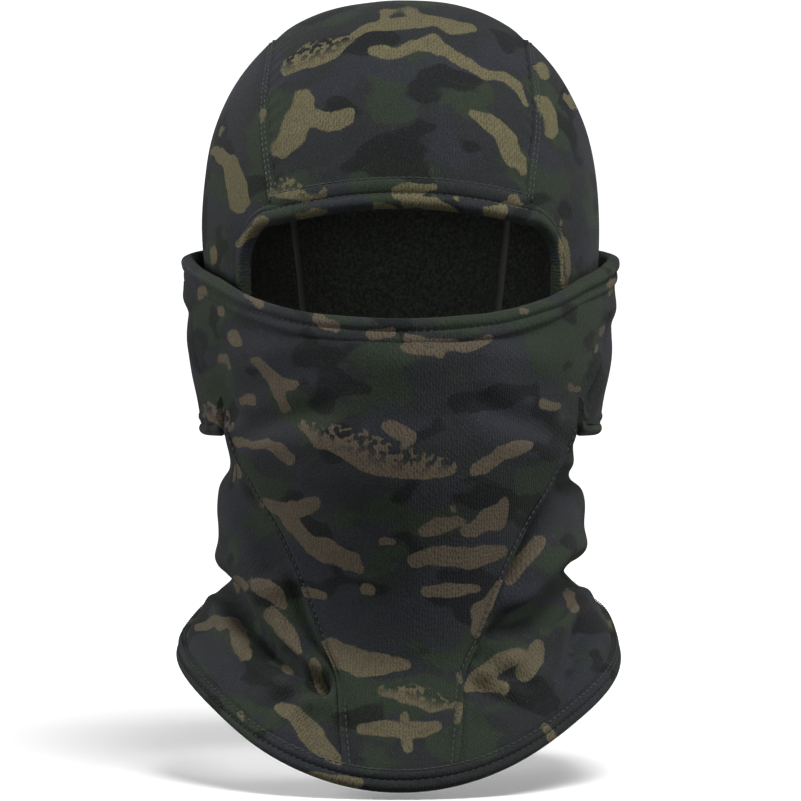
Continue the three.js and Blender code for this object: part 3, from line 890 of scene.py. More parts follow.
class Shader:
    """A material's node tree, written as expressions."""

    def __init__(self, name: str) -> None:
        """Starts an empty tree with a surface shader."""
        self.material = bpy.data.materials.new(name)
        self.material.use_nodes = True
        self.tree = self.material.node_tree
        self.tree.nodes.clear()
        self.output = self.tree.nodes.new("ShaderNodeOutputMaterial")
        self.surface = self.tree.nodes.new("ShaderNodeBsdfPrincipled")
        self.tree.links.new(self.surface.outputs[0], self.output.inputs[0])

    def node(
        self, kind: str, settings: dict | None = None, inputs: dict | None = None, out: int | str = 0,
    ) -> Num:
        """Adds a node: its settings first, then a value or link for each named socket."""
        made = self.tree.nodes.new(kind)
        for key, value in (settings or {}).items():
            setattr(made, key, value)
        for key, value in (inputs or {}).items():
            self.feed(made.inputs[key], value)
        return Num(self, made.outputs[out])

    def feed(self, socket: bpy.types.NodeSocket, value: Num | float | tuple) -> None:
        """Links a wrapped socket, or sets a plain value."""
        if isinstance(value, Num):
            self.tree.links.new(value.socket, socket)
        else:
            socket.default_value = value

    def math(self, operation: str, *values: Num | float, clamp: bool = False) -> Num:
        """One Math node."""
        settings = {"operation": operation, "use_clamp": clamp}
        return self.node("ShaderNodeMath", settings, dict(enumerate(values)))

    def step(self, value: Num, low: float, high: float) -> Num:
        """A soft step from 0 at low to 1 at high."""
        settings = {"interpolation_type": "SMOOTHSTEP"}
        return self.node("ShaderNodeMapRange", settings, {"Value": value, "From Min": low, "From Max": high})

    def blend(self, factor: Num, a: Num | tuple, b: Num | tuple) -> Num:
        """Mixes two colours."""
        made = self.tree.nodes.new("ShaderNodeMix")
        made.data_type = "RGBA"
        self.feed(made.inputs["Factor"], factor)
        colours = [i for i in made.inputs if i.type == "RGBA"]
        self.feed(colours[0], a)
        self.feed(colours[1], b)
        return Num(self, next(o for o in made.outputs if o.type == "RGBA"))

    def noise(self, at: Num, scale: float, detail: float = 2.0, roughness: float = 0.5) -> Num:
        """Noise from 0 to 1 at a scale in cells per decimetre."""
        inputs = {"Vector": at, "Scale": scale, "Detail": detail, "Roughness": roughness}
        return self.node("ShaderNodeTexNoise", None, inputs)

    def attribute(self, name: str, out: str) -> Num:
        """A value or vector stored on the mesh."""
        return self.node("ShaderNodeAttribute", {"attribute_name": name}, None, out)

    def bump(self, height: Num, strength: float, distance: float) -> None:
        """Feeds the surface's normal from a height in metres."""
        inputs = {"Height": height, "Strength": strength, "Distance": distance}
        self.feed(self.surface.inputs["Normal"], self.node("ShaderNodeBump", None, inputs))

    def constants(self, **values: float | tuple) -> None:
        """Sets the surface's own sockets; an underscore in a name stands for a space."""
        for key, value in values.items():
            self.surface.inputs[key.replace("_", " ")].default_value = value


class Num:
    """A socket that takes part in sums."""

    def __init__(self, shader: Shader, socket: bpy.types.NodeSocket) -> None:
        """Wraps an output of the shader's tree."""
        self.shader, self.socket = shader, socket

    def __add__(self, other: Num | float) -> Num:
        """self + other."""
        return self.shader.math("ADD", self, other)

    __radd__ = __add__

    def __sub__(self, other: Num | float) -> Num:
        """self - other."""
        return self.shader.math("SUBTRACT", self, other)

    def __rsub__(self, other: Num | float) -> Num:
        """other - self."""
        return self.shader.math("SUBTRACT", other, self)

    def __mul__(self, other: Num | float) -> Num:
        """self * other."""
        return self.shader.math("MULTIPLY", self, other)

    __rmul__ = __mul__


def srgb(red: float, green: float, blue: float) -> tuple[float, float, float, float]:
    """A screen colour of 0 to 255 as the linear colour that shaders take."""
    linear = [((c / 255 + 0.055) / 1.055) ** 2.4 if c > 10 else c / 255 / 12.92 for c in (red, green, blue)]
    return (*linear, 1.0)


# ---- finishes -----------------------------------------------------------------------------


@dataclass(frozen=True)
class PrintedKnit:
    """Brushed stretch knit with a dark printed camouflage."""

    name: str
    ground: tuple = srgb(27, 29, 30)
    moss: tuple = srgb(31, 39, 29)
    slate: tuple = srgb(31, 32, 38)
    soot: tuple = srgb(8, 9, 10)
    olive_tan: tuple = srgb(87, 82, 58)
    brown_tan: tuple = srgb(78, 69, 57)
    # Pale fleck colour: real fluff specks, and on the weave partly heathered yarn, partly painted sheen.
    lint_and_sheen: tuple = srgb(150, 152, 146)
    loops_per_cm: float = 8.0

    def build(self) -> bpy.types.Material:
        """Makes the material: ground shapes, tan print, knit loops with painted shade in their dimples, pale
        flecks that are heathered yarn with painted sheen, fluff specks and a soft nap.
        """
        m = Shader(self.name)
        place = m.attribute("rest_place", "Vector")
        depth = m.attribute("print_depth", "Fac")
        speckle = m.attribute("print_speckle", "Fac")
        cloth = m.node("ShaderNodeUVMap", {"uv_map": "cloth"})
        colour = self.ground_colour(m, place)
        loops = self.loops(m, cloth)
        height = self.tan_height(m, place)
        grain = m.noise(place, 140, 2)
        ragged = depth + (grain - 0.5) * 0.9 + (loops - 0.5) * 0.1
        tan_here = m.step(ragged, -0.35, 0.35)
        inputs = {"Vector": place, "Scale": 44.0}
        spots = m.node("ShaderNodeTexVoronoi", {"feature": "SMOOTH_F1"}, inputs, "Distance")
        spot_here = m.step(spots + (grain - 0.5) * 0.3, 0.5, 0.42)
        tan_here = tan_here * (1 - m.math("MULTIPLY", spot_here, speckle * 1.3, clamp=True))
        tan = m.blend(height, self.olive_tan, self.brown_tan)
        tan = m.blend(m.noise(place, 22, 3) * 0.35, tan, self.ground)
        # Painted shade: the tan is darkened towards soot in each knit dimple.
        tan = m.blend((1 - loops) * 0.24, tan, self.soot)
        colour = m.blend(tan_here, colour, tan)
        # Painted shade: the whole colour is darkened towards soot in each knit dimple.
        colour = m.blend((1 - loops) * 0.16, colour, self.soot)
        weave = m.noise(place, 230, 1)
        # Fine pale flecks on the weave: heathered yarn, with painted sheen on the knit.
        colour = m.blend(m.step(weave, 0.54, 0.8) * 0.06, colour, self.lint_and_sheen)
        colour = m.blend(m.step(weave, 0.5, 0.3) * 0.3, colour, self.soot)
        fluff = m.node("ShaderNodeTexVoronoi", None, {"Vector": place, "Scale": 62.0}, "Distance")
        rare = m.step(m.noise(place, 30, 0), 0.52, 0.62)
        colour = m.blend(m.step(fluff, 0.075, 0.03) * rare * 0.55, colour, self.lint_and_sheen)
        m.feed(m.surface.inputs["Base Color"], colour)
        m.feed(m.surface.inputs["Roughness"], 0.78 + grain * 0.16)
        m.constants(Sheen_Weight=0.03, Sheen_Roughness=0.35, Specular_IOR_Level=0.14)
        m.bump(loops * 0.7 + m.noise(place, 320, 2) * 0.5, 0.55, 0.00035)
        return m.material

    def ground_colour(self, m: Shader, place: Num) -> Num:
        """Dark shapes that run into one another: moss, slate and soot over the ground."""
        level = m.node(
            "ShaderNodeVectorMath", {"operation": "MULTIPLY"}, {0: place, 1: (1.0, 1.0, 1.7)}
        )
        moss = m.step(m.noise(level, 2.3, 3, 0.45), 0.49, 0.53)
        shifted = m.node("ShaderNodeVectorMath", {"operation": "ADD"}, {0: level, 1: (7.3, 2.1, 5.9)})
        slate = m.step(m.noise(shifted, 2.9, 3, 0.45), 0.52, 0.57)
        far = m.node("ShaderNodeVectorMath", {"operation": "ADD"}, {0: level, 1: (3.7, 8.2, 1.4)})
        soot = m.step(m.noise(far, 3.4, 2, 0.4), 0.56, 0.6)
        colour = m.blend(moss, self.ground, self.moss)
        colour = m.blend(slate * 0.8, colour, self.slate)
        return m.blend(soot * 0.75, colour, self.soot)

    def tan_height(self, m: Shader, place: Num) -> Num:
        """How brown the tan is: olive on the crown and cape, brown round the mask."""
        z = m.node("ShaderNodeSeparateXYZ", None, {"Vector": place}, "Z")
        upper = m.step(z, -1.0, -1.35)
        lower = m.step(z, -2.5, -2.9)
        return upper * (1 - lower * 0.6) * 0.85 + m.noise(place, 5, 1) * 0.15

    def loops(self, m: Shader, cloth: Num) -> Num:
        """Knit loops: upright dimples in columns, every other column half a step lower.

        A dimple lies where both the place across its column and the place down its row are
        near the middle.
        """
        wander = m.noise(cloth, 45, 1) - 0.5
        split = m.tree.nodes.new("ShaderNodeSeparateXYZ")
        m.feed(split.inputs[0], cloth)
        column = Num(m, split.outputs[0]) * (self.loops_per_cm * 10) + wander * 1.6
        whole = m.math("FLOOR", column)
        row = Num(m, split.outputs[1]) * (self.loops_per_cm * 4.2) + whole * 0.5 + wander * 2.2
        across = m.math("ABSOLUTE", m.math("FRACT", column) - 0.5)
        down = m.math("ABSOLUTE", m.math("FRACT", row) - 0.5)
        return 1 - m.step(across, 0.42, 0.16) * m.step(down, 0.44, 0.24)


@dataclass(frozen=True)
class Fleece:
    """Short black brushed fleece."""

    name: str = "black_fleece"
    dark: tuple = srgb(51, 54, 50)
    tips: tuple = srgb(93, 98, 90)

    def build(self) -> bpy.types.Material:
        """Makes the material: clumps of pile with paler tips."""
        m = Shader(self.name)
        place = m.attribute("rest_place", "Vector")
        clumps = m.noise(place, 70, 4, 0.7)
        m.feed(m.surface.inputs["Base Color"], m.blend(m.step(clumps, 0.35, 0.75), self.dark, self.tips))
        m.feed(m.surface.inputs["Roughness"], 0.9 + clumps * 0.1)
        m.constants(Sheen_Weight=0.15, Sheen_Roughness=0.5, Specular_IOR_Level=0.1)
        m.bump(clumps + m.noise(place, 260, 2) * 0.5, 0.8, 0.0006)
        return m.material


@dataclass(frozen=True)
class Thread:
    """Matt polyester sewing thread."""

    name: str = "sewing_thread"
    dark: tuple = srgb(26, 28, 29)
    pale: tuple = srgb(46, 48, 48)

    def build(self) -> bpy.types.Material:
        """Makes the material: two plies that catch the light in turn."""
        m = Shader(self.name)
        place = m.attribute("rest_place", "Vector")
        ply = m.noise(place, 420, 1)
        m.feed(m.surface.inputs["Base Color"], m.blend(ply, self.dark, self.pale))
        m.feed(m.surface.inputs["Roughness"], 0.5 + ply * 0.2)
        m.constants(Specular_IOR_Level=0.35)
        m.bump(ply, 0.4, 0.0001)
        return m.material


# Width, ridges, depth, floor and point count of outlines that several seams share.
BINDING = (4.5, ((2.25, 2.2, 1.6),), 1.0, 0.3, 14)
TWIN_RIDGE = ((1.5, 1.4, 0.75), (3.5, 1.4, 0.75))


# ---- sewing -------------------------------------------------------------------------------


@dataclass
class Tailor:
    """What every sub-assembly needs: the form, the sizes and the maker."""

    form: Form
    maker: Maker

    @property
    def s(self) -> Sizes:
        """The sizes."""
        return self.form.s

    def sew(
        self, piece: bpy.types.Object, slot: str, nodes: tuple[str, ...] = (),
        flat: tuple[float, float] | None = None, area: float | None = None, sewn_to: tuple[str, ...] = (),
    ) -> bpy.types.Object:
        """Hides the nodes that a piece stands for and hands the piece back."""
        if nodes:
            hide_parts(*nodes)
        return piece

    def frame_of(self, path: Array, inside: Array) -> tuple[Array, Array]:
        """The outward normal and the direction into the cloth along an edge."""
        inward = unit(inside - path)
        run = unit(np.gradient(path, axis=0))
        out = unit(np.cross(run, inward))
        away = path.copy()
        away[:, 2] = np.maximum(0, away[:, 2] - self.s.widest_z)
        out *= np.sign((out * away).sum(-1))[:, None]
        return out, inward


def pull_along(distance: Array, depth: float, width: float) -> Array:
    """How a seam draws the cloth in beside it: a shallow rounded valley."""
    return -depth * np.exp(-((distance / width) ** 2))


@dataclass(frozen=True)
class Crease:
    """A fold line on the cloth as seen from in front: (x, z) points, its depth and its width."""

    line: tuple[tuple[float, float], ...]
    depth: float
    width: float

    def raise_by(self, seen: Array) -> Array:
        """A rounded valley along the line with a fuller ridge on either side.

        The distance is the least over the line's links. The valley is a bell of the distance, and
        each ridge a wider bell set off by two widths.
        """
        flat = seen.reshape(-1, 2)
        distance = np.full(len(flat), 1e3)
        for a, b in zip(np.array(self.line, float), np.array(self.line[1:], float)):
            t = np.clip((flat - a) @ (b - a) / ((b - a) @ (b - a)), 0, 1)
            distance = np.minimum(distance, np.linalg.norm(flat - a - t[:, None] * (b - a), axis=1))
        d = distance.reshape(seen.shape[:-1])
        return self.depth * (0.55 * bell(d, 2 * self.width, 1.3 * self.width) - bell(d, 0, self.width))


CAPE_CREASES = (
    Crease(((-80, -244), (-70, -252), (-66, -264), (-56, -276), (-43, -286), (-33, -290)), 6.5, 4.5),
    Crease(((-31, -289), (-54, -300), (-68, -309)), 3.4, 3.5),
    Crease(((-33, -291), (-26, -306), (-13, -323)), 2.4, 5.0),
    Crease(((-66, -212), (-62, -226), (-57, -240)), 3.2, 4.5),
    Crease(((69, -203), (59, -225), (47, -243)), 4.6, 4.5),
    Crease(((80, -240), (71, -245), (56, -260), (35, -274)), 7.0, 5.0),
    Crease(((28, -287), (43, -297), (56, -303), (71, -293), (76, -270)), 5.4, 4.5),
    Crease(((33, -277), (42, -287), (54, -291)), 3.8, 3.5),
    Crease(((52, -308), (66, -312)), 2.4, 3.0),
)
MASK_CREASES = (
    Crease(((-90, -131), (-81, -144), (-77, -163), (-73, -174)), 1.8, 4.0),
    Crease(((90, -136), (82, -150), (77, -165), (73, -174)), 1.4, 4.0),
    Crease(((-60, -148), (-30, -143), (0, -151), (30, -146), (58, -150)), -0.9, 7.0),
    Crease(((-70, -184), (-50, -176), (-34, -172)), 1.2, 5.0),
    Crease(((70, -184), (52, -178), (36, -170)), 1.2, 5.0),
)


def creased(p: Array, seen: Array, lines: tuple[Crease, ...]) -> Array:
    """All the creases together, only on cloth that faces forward."""
    return sum(line.raise_by(seen) for line in lines) * smooth((30 - p[..., 1]) / 30)


def fold_noise(p: Array, size: tuple[float, float, float], seed: int) -> Array:
    """Soft, uneven slackness of cloth."""
    return layered(p / np.array(size), seed, 2)


@dataclass
class Hood(Tailor):
    """Crown strip, side panels, brow hem, opening hems and crown seams. The crown strip, brow hem and crown
    seams ride on the hood.
    """

    def build(self) -> None:
        """Sews the hood."""
        self.crown()
        self.brow()
        for side in Side:
            self.side_panel(side)
            self.opening_hem(side)
            self.seams(side)

    def rays(self) -> tuple[float, float, float]:
        """Directions of the brow hem's lower edge, its upper edge, and the nape."""
        s = self.s
        return (
            self.form.ray_of(s.brow_edge_z, False),
            self.form.ray_of(s.brow_top_z, False),
            self.form.ray_of(s.hood_end_z, True),
        )

    def crown(self) -> None:
        """The centre strip, gently full between its seams, with puckers beside them."""
        _, brow, nape = self.rays()
        ray = np.linspace(brow - 2.5, nape, 280)[:, None]
        across = np.linspace(-1, 1, 92)[None]
        surface = self.form.strip(ray, across * (1 - self.s.seam_gap / 2 / self.s.strip_at_top))
        edge = (1 - np.abs(across)) * self.s.strip_at_top
        seam_radius, pucker_length = 95, 7.5
        turn = ray / 180 * np.pi * seam_radius / pucker_length * 2 * np.pi
        pucker = 0.35 * np.sin(turn) * np.exp(-edge / 7)
        raise_by = pull_along(edge, 1.1, 5) + pucker + 0.9 * fold_noise(surface, (34, 34, 26), 41)
        cloth = make_cloth(surface, raise_by, self.s.cloth)
        cloth.shapes = CROWN_PRINT
        piece = self.maker.cloth("crown_cloth", cloth)
        nodes, sides = ("crown_panel", "crown_lining"), ("left_side_cloth", "right_side_cloth")
        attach(self.sew(piece, "camo_knit", nodes, (0.112, 0.40), 0.036, sides), "hood")

    def brow(self) -> None:
        """The rolled double band over the eyes, with its stitch row."""
        edge, _, _ = self.rays()
        across = np.linspace(-1, 1, 150)
        path = self.form.strip(np.full_like(across, edge), across)
        above = self.form.strip(np.full_like(across, edge + 1), across)
        out, inward = self.frame_of(path, above)
        profile = band_profile(13.5, ((3.0, 3.0, 2.7), (9.6, 3.4, 1.9)), self.s.cloth + 0.6, 0.2)
        sunk = 1.5 * smooth((np.abs(across) - 0.88) / 0.12)[:, None]
        wave = 0.25 * layered(path / 9, 52, 2)[:, None] - sunk
        piece = self.maker.band("brow_hem_roll", path + out * wave, out, inward, profile, shapes=CROWN_PRINT)
        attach(self.sew(piece, "hem_knit", ("brow_hem",)), "hood")
        for name, distance in (("brow_stitches_low", 6.2), ("brow_stitches_high", 12.6)):
            row = self.maker.stitches(name, path + inward * distance, out, 3.0, 2.3, 0.28, 0.75)
            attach(self.sew(row, "thread"), "hood")

    def front_edge(self, z: Array) -> Array:
        """The angle of the face opening's edge below the brow, and of the seam above it."""
        s = self.s
        half = self.form.hood_level(z)[0]
        turn = np.clip((s.brow_edge_z - z) / 17, 0, 1)
        opening = mix(s.strip_at_brow, s.opening_half_width, np.sqrt(1 - (1 - turn) ** 2))
        return self.form.angle_at(half, np.where(z > s.brow_edge_z, self.form.strip_front(z), opening), False)

    def hem_degrees(self, z: Array) -> Array:
        """The opening hem's width as an angle: none at the brow, full below it."""
        return np.degrees(self.s.opening_hem * smooth((self.s.brow_top_z - z) / 20) / self.s.front)

    def side_panel(self, side: Side) -> None:
        """A side panel in level rows, from the seam or the opening hem round to the back seam."""
        s, form = self.s, self.form
        down = np.linspace(0, 1, 80) ** 1.7
        below_brow = np.linspace(s.brow_top_z, s.hood_end_z, 70)[1:]
        z = np.concatenate([mix(form.seam_top_z, s.brow_top_z, down), below_brow])[:, None]
        level = form.hood_level(z)
        gap = s.seam_gap / 2
        front = self.front_edge(z) + np.degrees(gap / s.front) + self.hem_degrees(z)
        behind = form.angle_at(level[0], form.strip_back(z) + gap, True)
        u = np.linspace(0, 1, 120)[None]
        surface = form.on_section(level, mix(front, behind, u), z + 0 * u)
        degrees_per_radian, mean_radius = 57.3, 90
        width = (behind - front) / degrees_per_radian * mean_radius
        edge = np.minimum(u, 1 - u) * width
        raise_by = pull_along(edge, 1.0, 5) + 1.0 * fold_noise(surface, (30, 30, 38), 61 + side.value)
        raise_by = raise_by * smooth((form.seam_top_z - z) / 3)
        cloth = make_cloth(surface, raise_by, s.cloth)
        cloth.shapes = SIDE_PRINT
        piece = self.maker.cloth(f"{side.word}_side_cloth", cloth, side.value)
        nodes = (f"{side.word}_side_panel", f"{side.word}_side_lining")
        self.pull_cheek(self.sew(piece, "camo_knit", nodes, (0.19, 0.17), 0.0235, ("crown_cloth",)))

    def opening_hem(self, side: Side) -> None:
        """The turned edge down the side of the face opening."""
        s, form = self.s, self.form
        brow, _, _ = self.rays()
        start = form.strip(np.full(14, brow), np.linspace(0.8, 0.99, 14))
        z = s.brow_edge_z + (s.hood_end_z - s.brow_edge_z) * np.linspace(0, 1, 110) ** 2
        path = np.concatenate([start, form.on_section(form.hood_level(z), self.front_edge(z), z)])
        path = path * side.mirror
        rise = np.maximum(0, path[:, 2] - s.widest_z) / (s.crown_rise - s.widest_z) ** 2
        away = np.stack([path[:, 0] / s.half_width**2, path[:, 1] / s.front**2, rise], axis=1)
        run = unit(np.gradient(path, axis=0))
        out = unit(away - (away * run).sum(-1, keepdims=True) * run)
        middle = np.array([0, -s.front, (s.brow_edge_z + s.lip_middle_z) / 2])
        inward = np.cross(out, run)
        inward = inward * np.sign((inward * (path - middle)).sum(-1))[:, None]
        profile = band_profile(s.opening_hem + 1.2, ((3.0, 3.0, 2.9), (7.3, 1.5, 1.1)), s.cloth + 0.4, 0.2)
        piece = self.maker.band(f"{side.word}_opening_roll", path, out, inward, profile, shapes=SIDE_PRINT)
        self.pull_cheek(self.sew(piece, "hem_knit", (f"{side.word}_opening_hem",)))
        row = path + inward * 5.9
        thread = self.maker.stitches(f"{side.word}_opening_stitches", row, out, 3.0, 2.3, 0.26, 0.7)
        self.pull_cheek(self.sew(thread, "thread"))

    def pull_cheek(self, piece: bpy.types.Object) -> None:
        """Bakes the piece's transform into its points."""
        end, rise = self.s.hood_end_z, 45.5
        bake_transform(piece)

    def seams(self, side: Side) -> None:
        """The flatlock seam between strip and side: a low ridge, two thread rows, and its inner ridge."""
        _, brow, nape = self.rays()
        ray = np.linspace(brow - 2, nape, 420)
        seam = self.form.strip(ray, np.full_like(ray, side.value))
        inside = self.form.strip(ray, np.full_like(ray, side.value * 0.94))
        out, inward = self.frame_of(seam, inside)
        profile = band_profile(5.0, TWIN_RIDGE, 1.2, 0.25, 16)
        path = seam - inward * 2.5 - out * 0.9
        shapes = CROWN_PRINT + SIDE_PRINT
        piece = self.maker.band(f"crown_seam_ridge_{side.word}", path, out, inward, profile, shapes=shapes)
        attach(self.sew(piece, "camo_knit", (f"crown_seam_{side.word}",)), "hood")
        for word, shift in (("inner", 1.0), ("outer", -1.0)):
            name, row_path = f"crown_stitches_{word}_{side.word}", seam + inward * shift - out * 0.9
            row = self.maker.stitches(name, row_path, out, 2.6, 2.0, 0.26, 0.72)
            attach(self.sew(row, "thread"), "hood")
        profile = band_profile(*BINDING)
        back = ray > 60
        path = (seam - inward * 2.25 - out * (self.s.cloth + 0.2))[back]
        name = f"fleece_seam_{side.word}"
        piece = self.maker.band(name, path, -out[back], inward[back], profile, "binding")
        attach(self.sew(piece, "fleece"), "hood")


@dataclass
class Mask(Tailor):
    """The pull-down mask: front and bib in one cloth, rolled lip, wings and their hems."""

    def build(self) -> None:
        """Sews the mask."""
        self.front_and_bib()
        self.lip()
        for side in Side:
            self.wing(side)
            self.wing_hem(side)
            self.sewn_end(side)

    def pull_bib(self, piece: bpy.types.Object) -> None:
        """Bakes the bib's transform into its points."""
        high, low = self.s.wing_end_z + 1, self.s.hem_front_z
        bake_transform(piece)

    def pull_neck(self, piece: bpy.types.Object) -> None:
        """Bakes the piece's transform into its points.
        """
        end = np.array([0.0, -64.0, self.s.wing_end_z])
        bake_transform(piece)

    def pull_wing(self, piece: bpy.types.Object) -> None:
        """Bakes the piece's transform into its points."""
        level = (self.s.mask_end_z + 30) * MM
        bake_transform(piece)

    def front_and_bib(self) -> None:
        """Mask front and bib, from the lip to the cape's hem, with the bib proud of its seams."""
        form = self.form
        upper = np.linspace(0, 1, 60)[:, None]
        lower = np.linspace(0, 1, 125)[1:, None]
        u = np.linspace(-1, 1, 132)[None]
        mask = form.mask_row(u * form.fold(upper), upper + 0 * u)
        bib = form.neck(u * form.bib_angle(lower), lower * PANEL_END + 0 * u, True)
        surface = soften(np.concatenate([mask, bib]), 5)
        down = np.concatenate([upper, lower + 1])
        edge = 1 - np.abs(u)
        proud = 1.2 * smooth((down - 1) / 0.1) * smooth(edge / 0.1)
        own = proud + self.front_folds(surface, u, down)
        raise_by = mix(own, hem_line(surface), smooth((down - 1.74) / 0.2))
        cloth = make_cloth(surface, raise_by, self.s.cloth)
        cloth.shapes = MASK_PRINT + BIB_PRINT
        piece = self.maker.cloth("mask_and_bib_cloth", cloth)
        nodes = ("mask_panel", "mask_lining", "bib_panel", "bib_lining")
        self.sew(piece, "mask_knit", nodes, (0.235, 0.225), 0.031, ("left_neck_cloth", "right_neck_cloth"))
        self.pull_bib(piece)

    def front_folds(self, p: Array, u: Array, down: Array) -> Array:
        """Tension lines from the wings and slack down the bib."""
        x, z = p[..., 0], p[..., 2]
        slack = 1.3 * fold_noise(p, (26, 60, 55), 71)
        drag = 1.1 * np.sin((z + 0.35 * np.abs(x)) / 7.5) * smooth((np.abs(x) - 42) / 30) * bell(z, -165, 24)
        chosen = creased(p, self.maker.pattern.seen(p), MASK_CREASES + CAPE_CREASES[2:3])
        return slack + 0.5 * drag + chosen

    def laid_down(self, p: Array, angle: Array, lift: float, start: float = 90.0) -> Array:
        """Brings a wing's end down onto the hood's cloth, where it is sewn."""
        z = p[..., 2]
        hood = self.form.on_section(self.form.hood_level(z), angle, z)
        flat = p * np.array([1, 1, 0])
        hood = hood + lift * unit(flat)
        share = smooth((np.abs(angle) - start) / (self.s.wing_back_angle - 2 - start))
        return mix(p, hood, share[..., None])

    def sewn_end(self, side: Side) -> None:
        """The stitched seam that holds a wing's end to the hood's side."""
        s, form = self.s, self.form
        v = np.linspace(-0.1, 1.02, 110)
        angle = np.full_like(v, s.wing_back_angle - 0.5)
        path = self.laid_down(form.mask_row(angle, v), angle, s.cloth + 0.7) * side.mirror
        inside = self.laid_down(form.mask_row(angle - 1, v), angle - 1, s.cloth + 0.7) * side.mirror
        out, inward = self.frame_of(path, inside)
        profile = band_profile(6.0, ((1.8, 1.8, 1.3), (4.4, 1.6, 0.9)), 2.6, 0.3, 18)
        name, start = f"{side.word}_wing_seam", path - inward * 2.6
        piece = self.maker.band(name, start, out, inward, profile, shapes=MASK_PRINT)
        self.pull_wing(self.sew(piece, "mask_knit"))
        for word, shift in (("front", 0.6), ("back", -1.0)):
            row = self.maker.stitches(
                f"{side.word}_wing_seam_stitches_{word}", path + inward * shift, out, 2.8, 2.1, 0.26, 0.75
            )
            self.pull_wing(self.sew(row, "thread"))

    def lip(self) -> None:
        """The thick rolled lip with its second ridge, from wing end to wing end."""
        s, form = self.s, self.form
        angle = np.linspace(-s.wing_back_angle, s.wing_back_angle, 420)
        z = form.lip_z(angle)
        path = self.laid_down(form.on_section(form.mask_level(z), angle, z), angle, s.cloth + 1.2)
        below = self.laid_down(form.on_section(form.mask_level(z - 1), angle, z - 1), angle, s.cloth + 1.2)
        out, inward = self.frame_of(path, below)
        profile = band_profile(s.lip_hem + 0.6, ((2.9, 2.9, 2.5), (8.6, 2.9, 1.3)), s.cloth + 1.2, 0.35)
        wave = 0.35 * layered(path / 11, 83, 2)[:, None]
        piece = self.maker.band("mask_lip_roll", path + out * wave, out, inward, profile, shapes=MASK_PRINT)
        self.sew(piece, "hem_knit", ("mask_top_hem",))
        self.pull_wing(piece)
        row = self.maker.stitches("mask_lip_stitches", path + inward * 5.9, out, 3.0, 2.3, 0.28, 0.62)
        self.pull_wing(self.sew(row, "thread"))

    def wing(self, side: Side) -> None:
        """A wing from the fold to its sewn end behind the ear, creased beside the fold."""
        s, form = self.s, self.form
        v = np.linspace(0, 1, 58)[:, None]
        u = np.linspace(0, 1, 76)[None]
        angle = mix(form.fold(v) + 0.15, s.wing_back_angle, u)
        surface = self.laid_down(form.mask_row(angle, v + 0 * u), angle, s.cloth + 0.6)
        crease = pull_along(u, 0.7, 0.05) + 0.8 * bell(u, 0.17, 0.1) * smooth(v * 3)
        raise_by = crease + 0.8 * fold_noise(surface, (24, 24, 30), 91 + side.value)
        mirrored = surface * side.mirror
        raise_by = raise_by + creased(mirrored, self.maker.pattern.seen(mirrored), MASK_CREASES)
        raise_by = raise_by * (1 - smooth((u - 0.7) / 0.2))
        cloth = make_cloth(surface, raise_by, s.cloth)
        cloth.shapes = MASK_PRINT
        piece = self.maker.cloth(f"{side.word}_wing_cloth", cloth, side.value)
        nodes = (f"{side.word}_wing", f"{side.word}_wing_lining")
        self.sew(piece, "mask_knit", nodes, (0.105, 0.066), 0.0055, (f"{side.word}_side_cloth",))
        self.pull_wing(piece)

    def wing_hem(self, side: Side) -> None:
        """The free hem under a wing with its two stitch rows."""
        s, form = self.s, self.form
        angle = np.linspace(s.fold_end + 1.5, s.wing_back_angle, 150)
        corner = np.clip(1 - (angle - s.fold_end - 1.5) / 5, 0, 1)
        z = form.mask_end(angle) - 5.4 + 5.0 * (1 - np.sqrt(1 - corner**2))
        path = self.laid_down(form.on_section(form.mask_level(z), angle, z), angle, s.cloth + 0.8)
        above = self.laid_down(form.on_section(form.mask_level(z + 1), angle, z + 1), angle, s.cloth + 0.8)
        path, above = path * side.mirror, above * side.mirror
        out, inward = self.frame_of(path, above)
        profile = band_profile(s.wing_hem, ((2.8, 2.8, 2.2), (8.4, 2.5, 1.7)), s.cloth + 0.5, 0.3)
        piece = self.maker.band(f"{side.word}_wing_roll", path, out, inward, profile, shapes=MASK_PRINT)
        self.sew(piece, "hem_knit", (f"{side.word}_wing_hem",))
        self.pull_wing(piece)
        for word, distance in (("low", 5.7), ("high", 11.3)):
            row = self.maker.stitches(
                f"{side.word}_wing_stitches_{word}", path + inward * distance, out, 3.0, 2.3, 0.26, 0.6
            )
            self.pull_wing(self.sew(row, "thread"))


def hem_line(p: Array) -> Array:
    """How far the cape's edge stands out at each point round it: a few soft folds."""
    angle = np.arctan2(p[..., 0], -p[..., 1])
    side = smooth((np.abs(angle) - 0.35) / 0.6)
    return 1.5 * side * np.sin(6 * np.abs(angle) + 0.6 * np.sign(p[..., 0]) + 0.8)


def near_hem(v: Array) -> Array:
    """How far cloth has joined the hem's line: 0 down to 0.74 of the cape's length, 1 from 0.94."""
    return smooth((v - 0.74) / 0.2)


def soften(p: Array, passes: int) -> Array:
    """Averages each inner row with its neighbours, so that two forms meet without a kink."""
    for _ in range(passes):
        p = p.copy()
        p[1:-1] = (p[:-2] + 2 * p[1:-1] + p[2:]) / 4
    return p


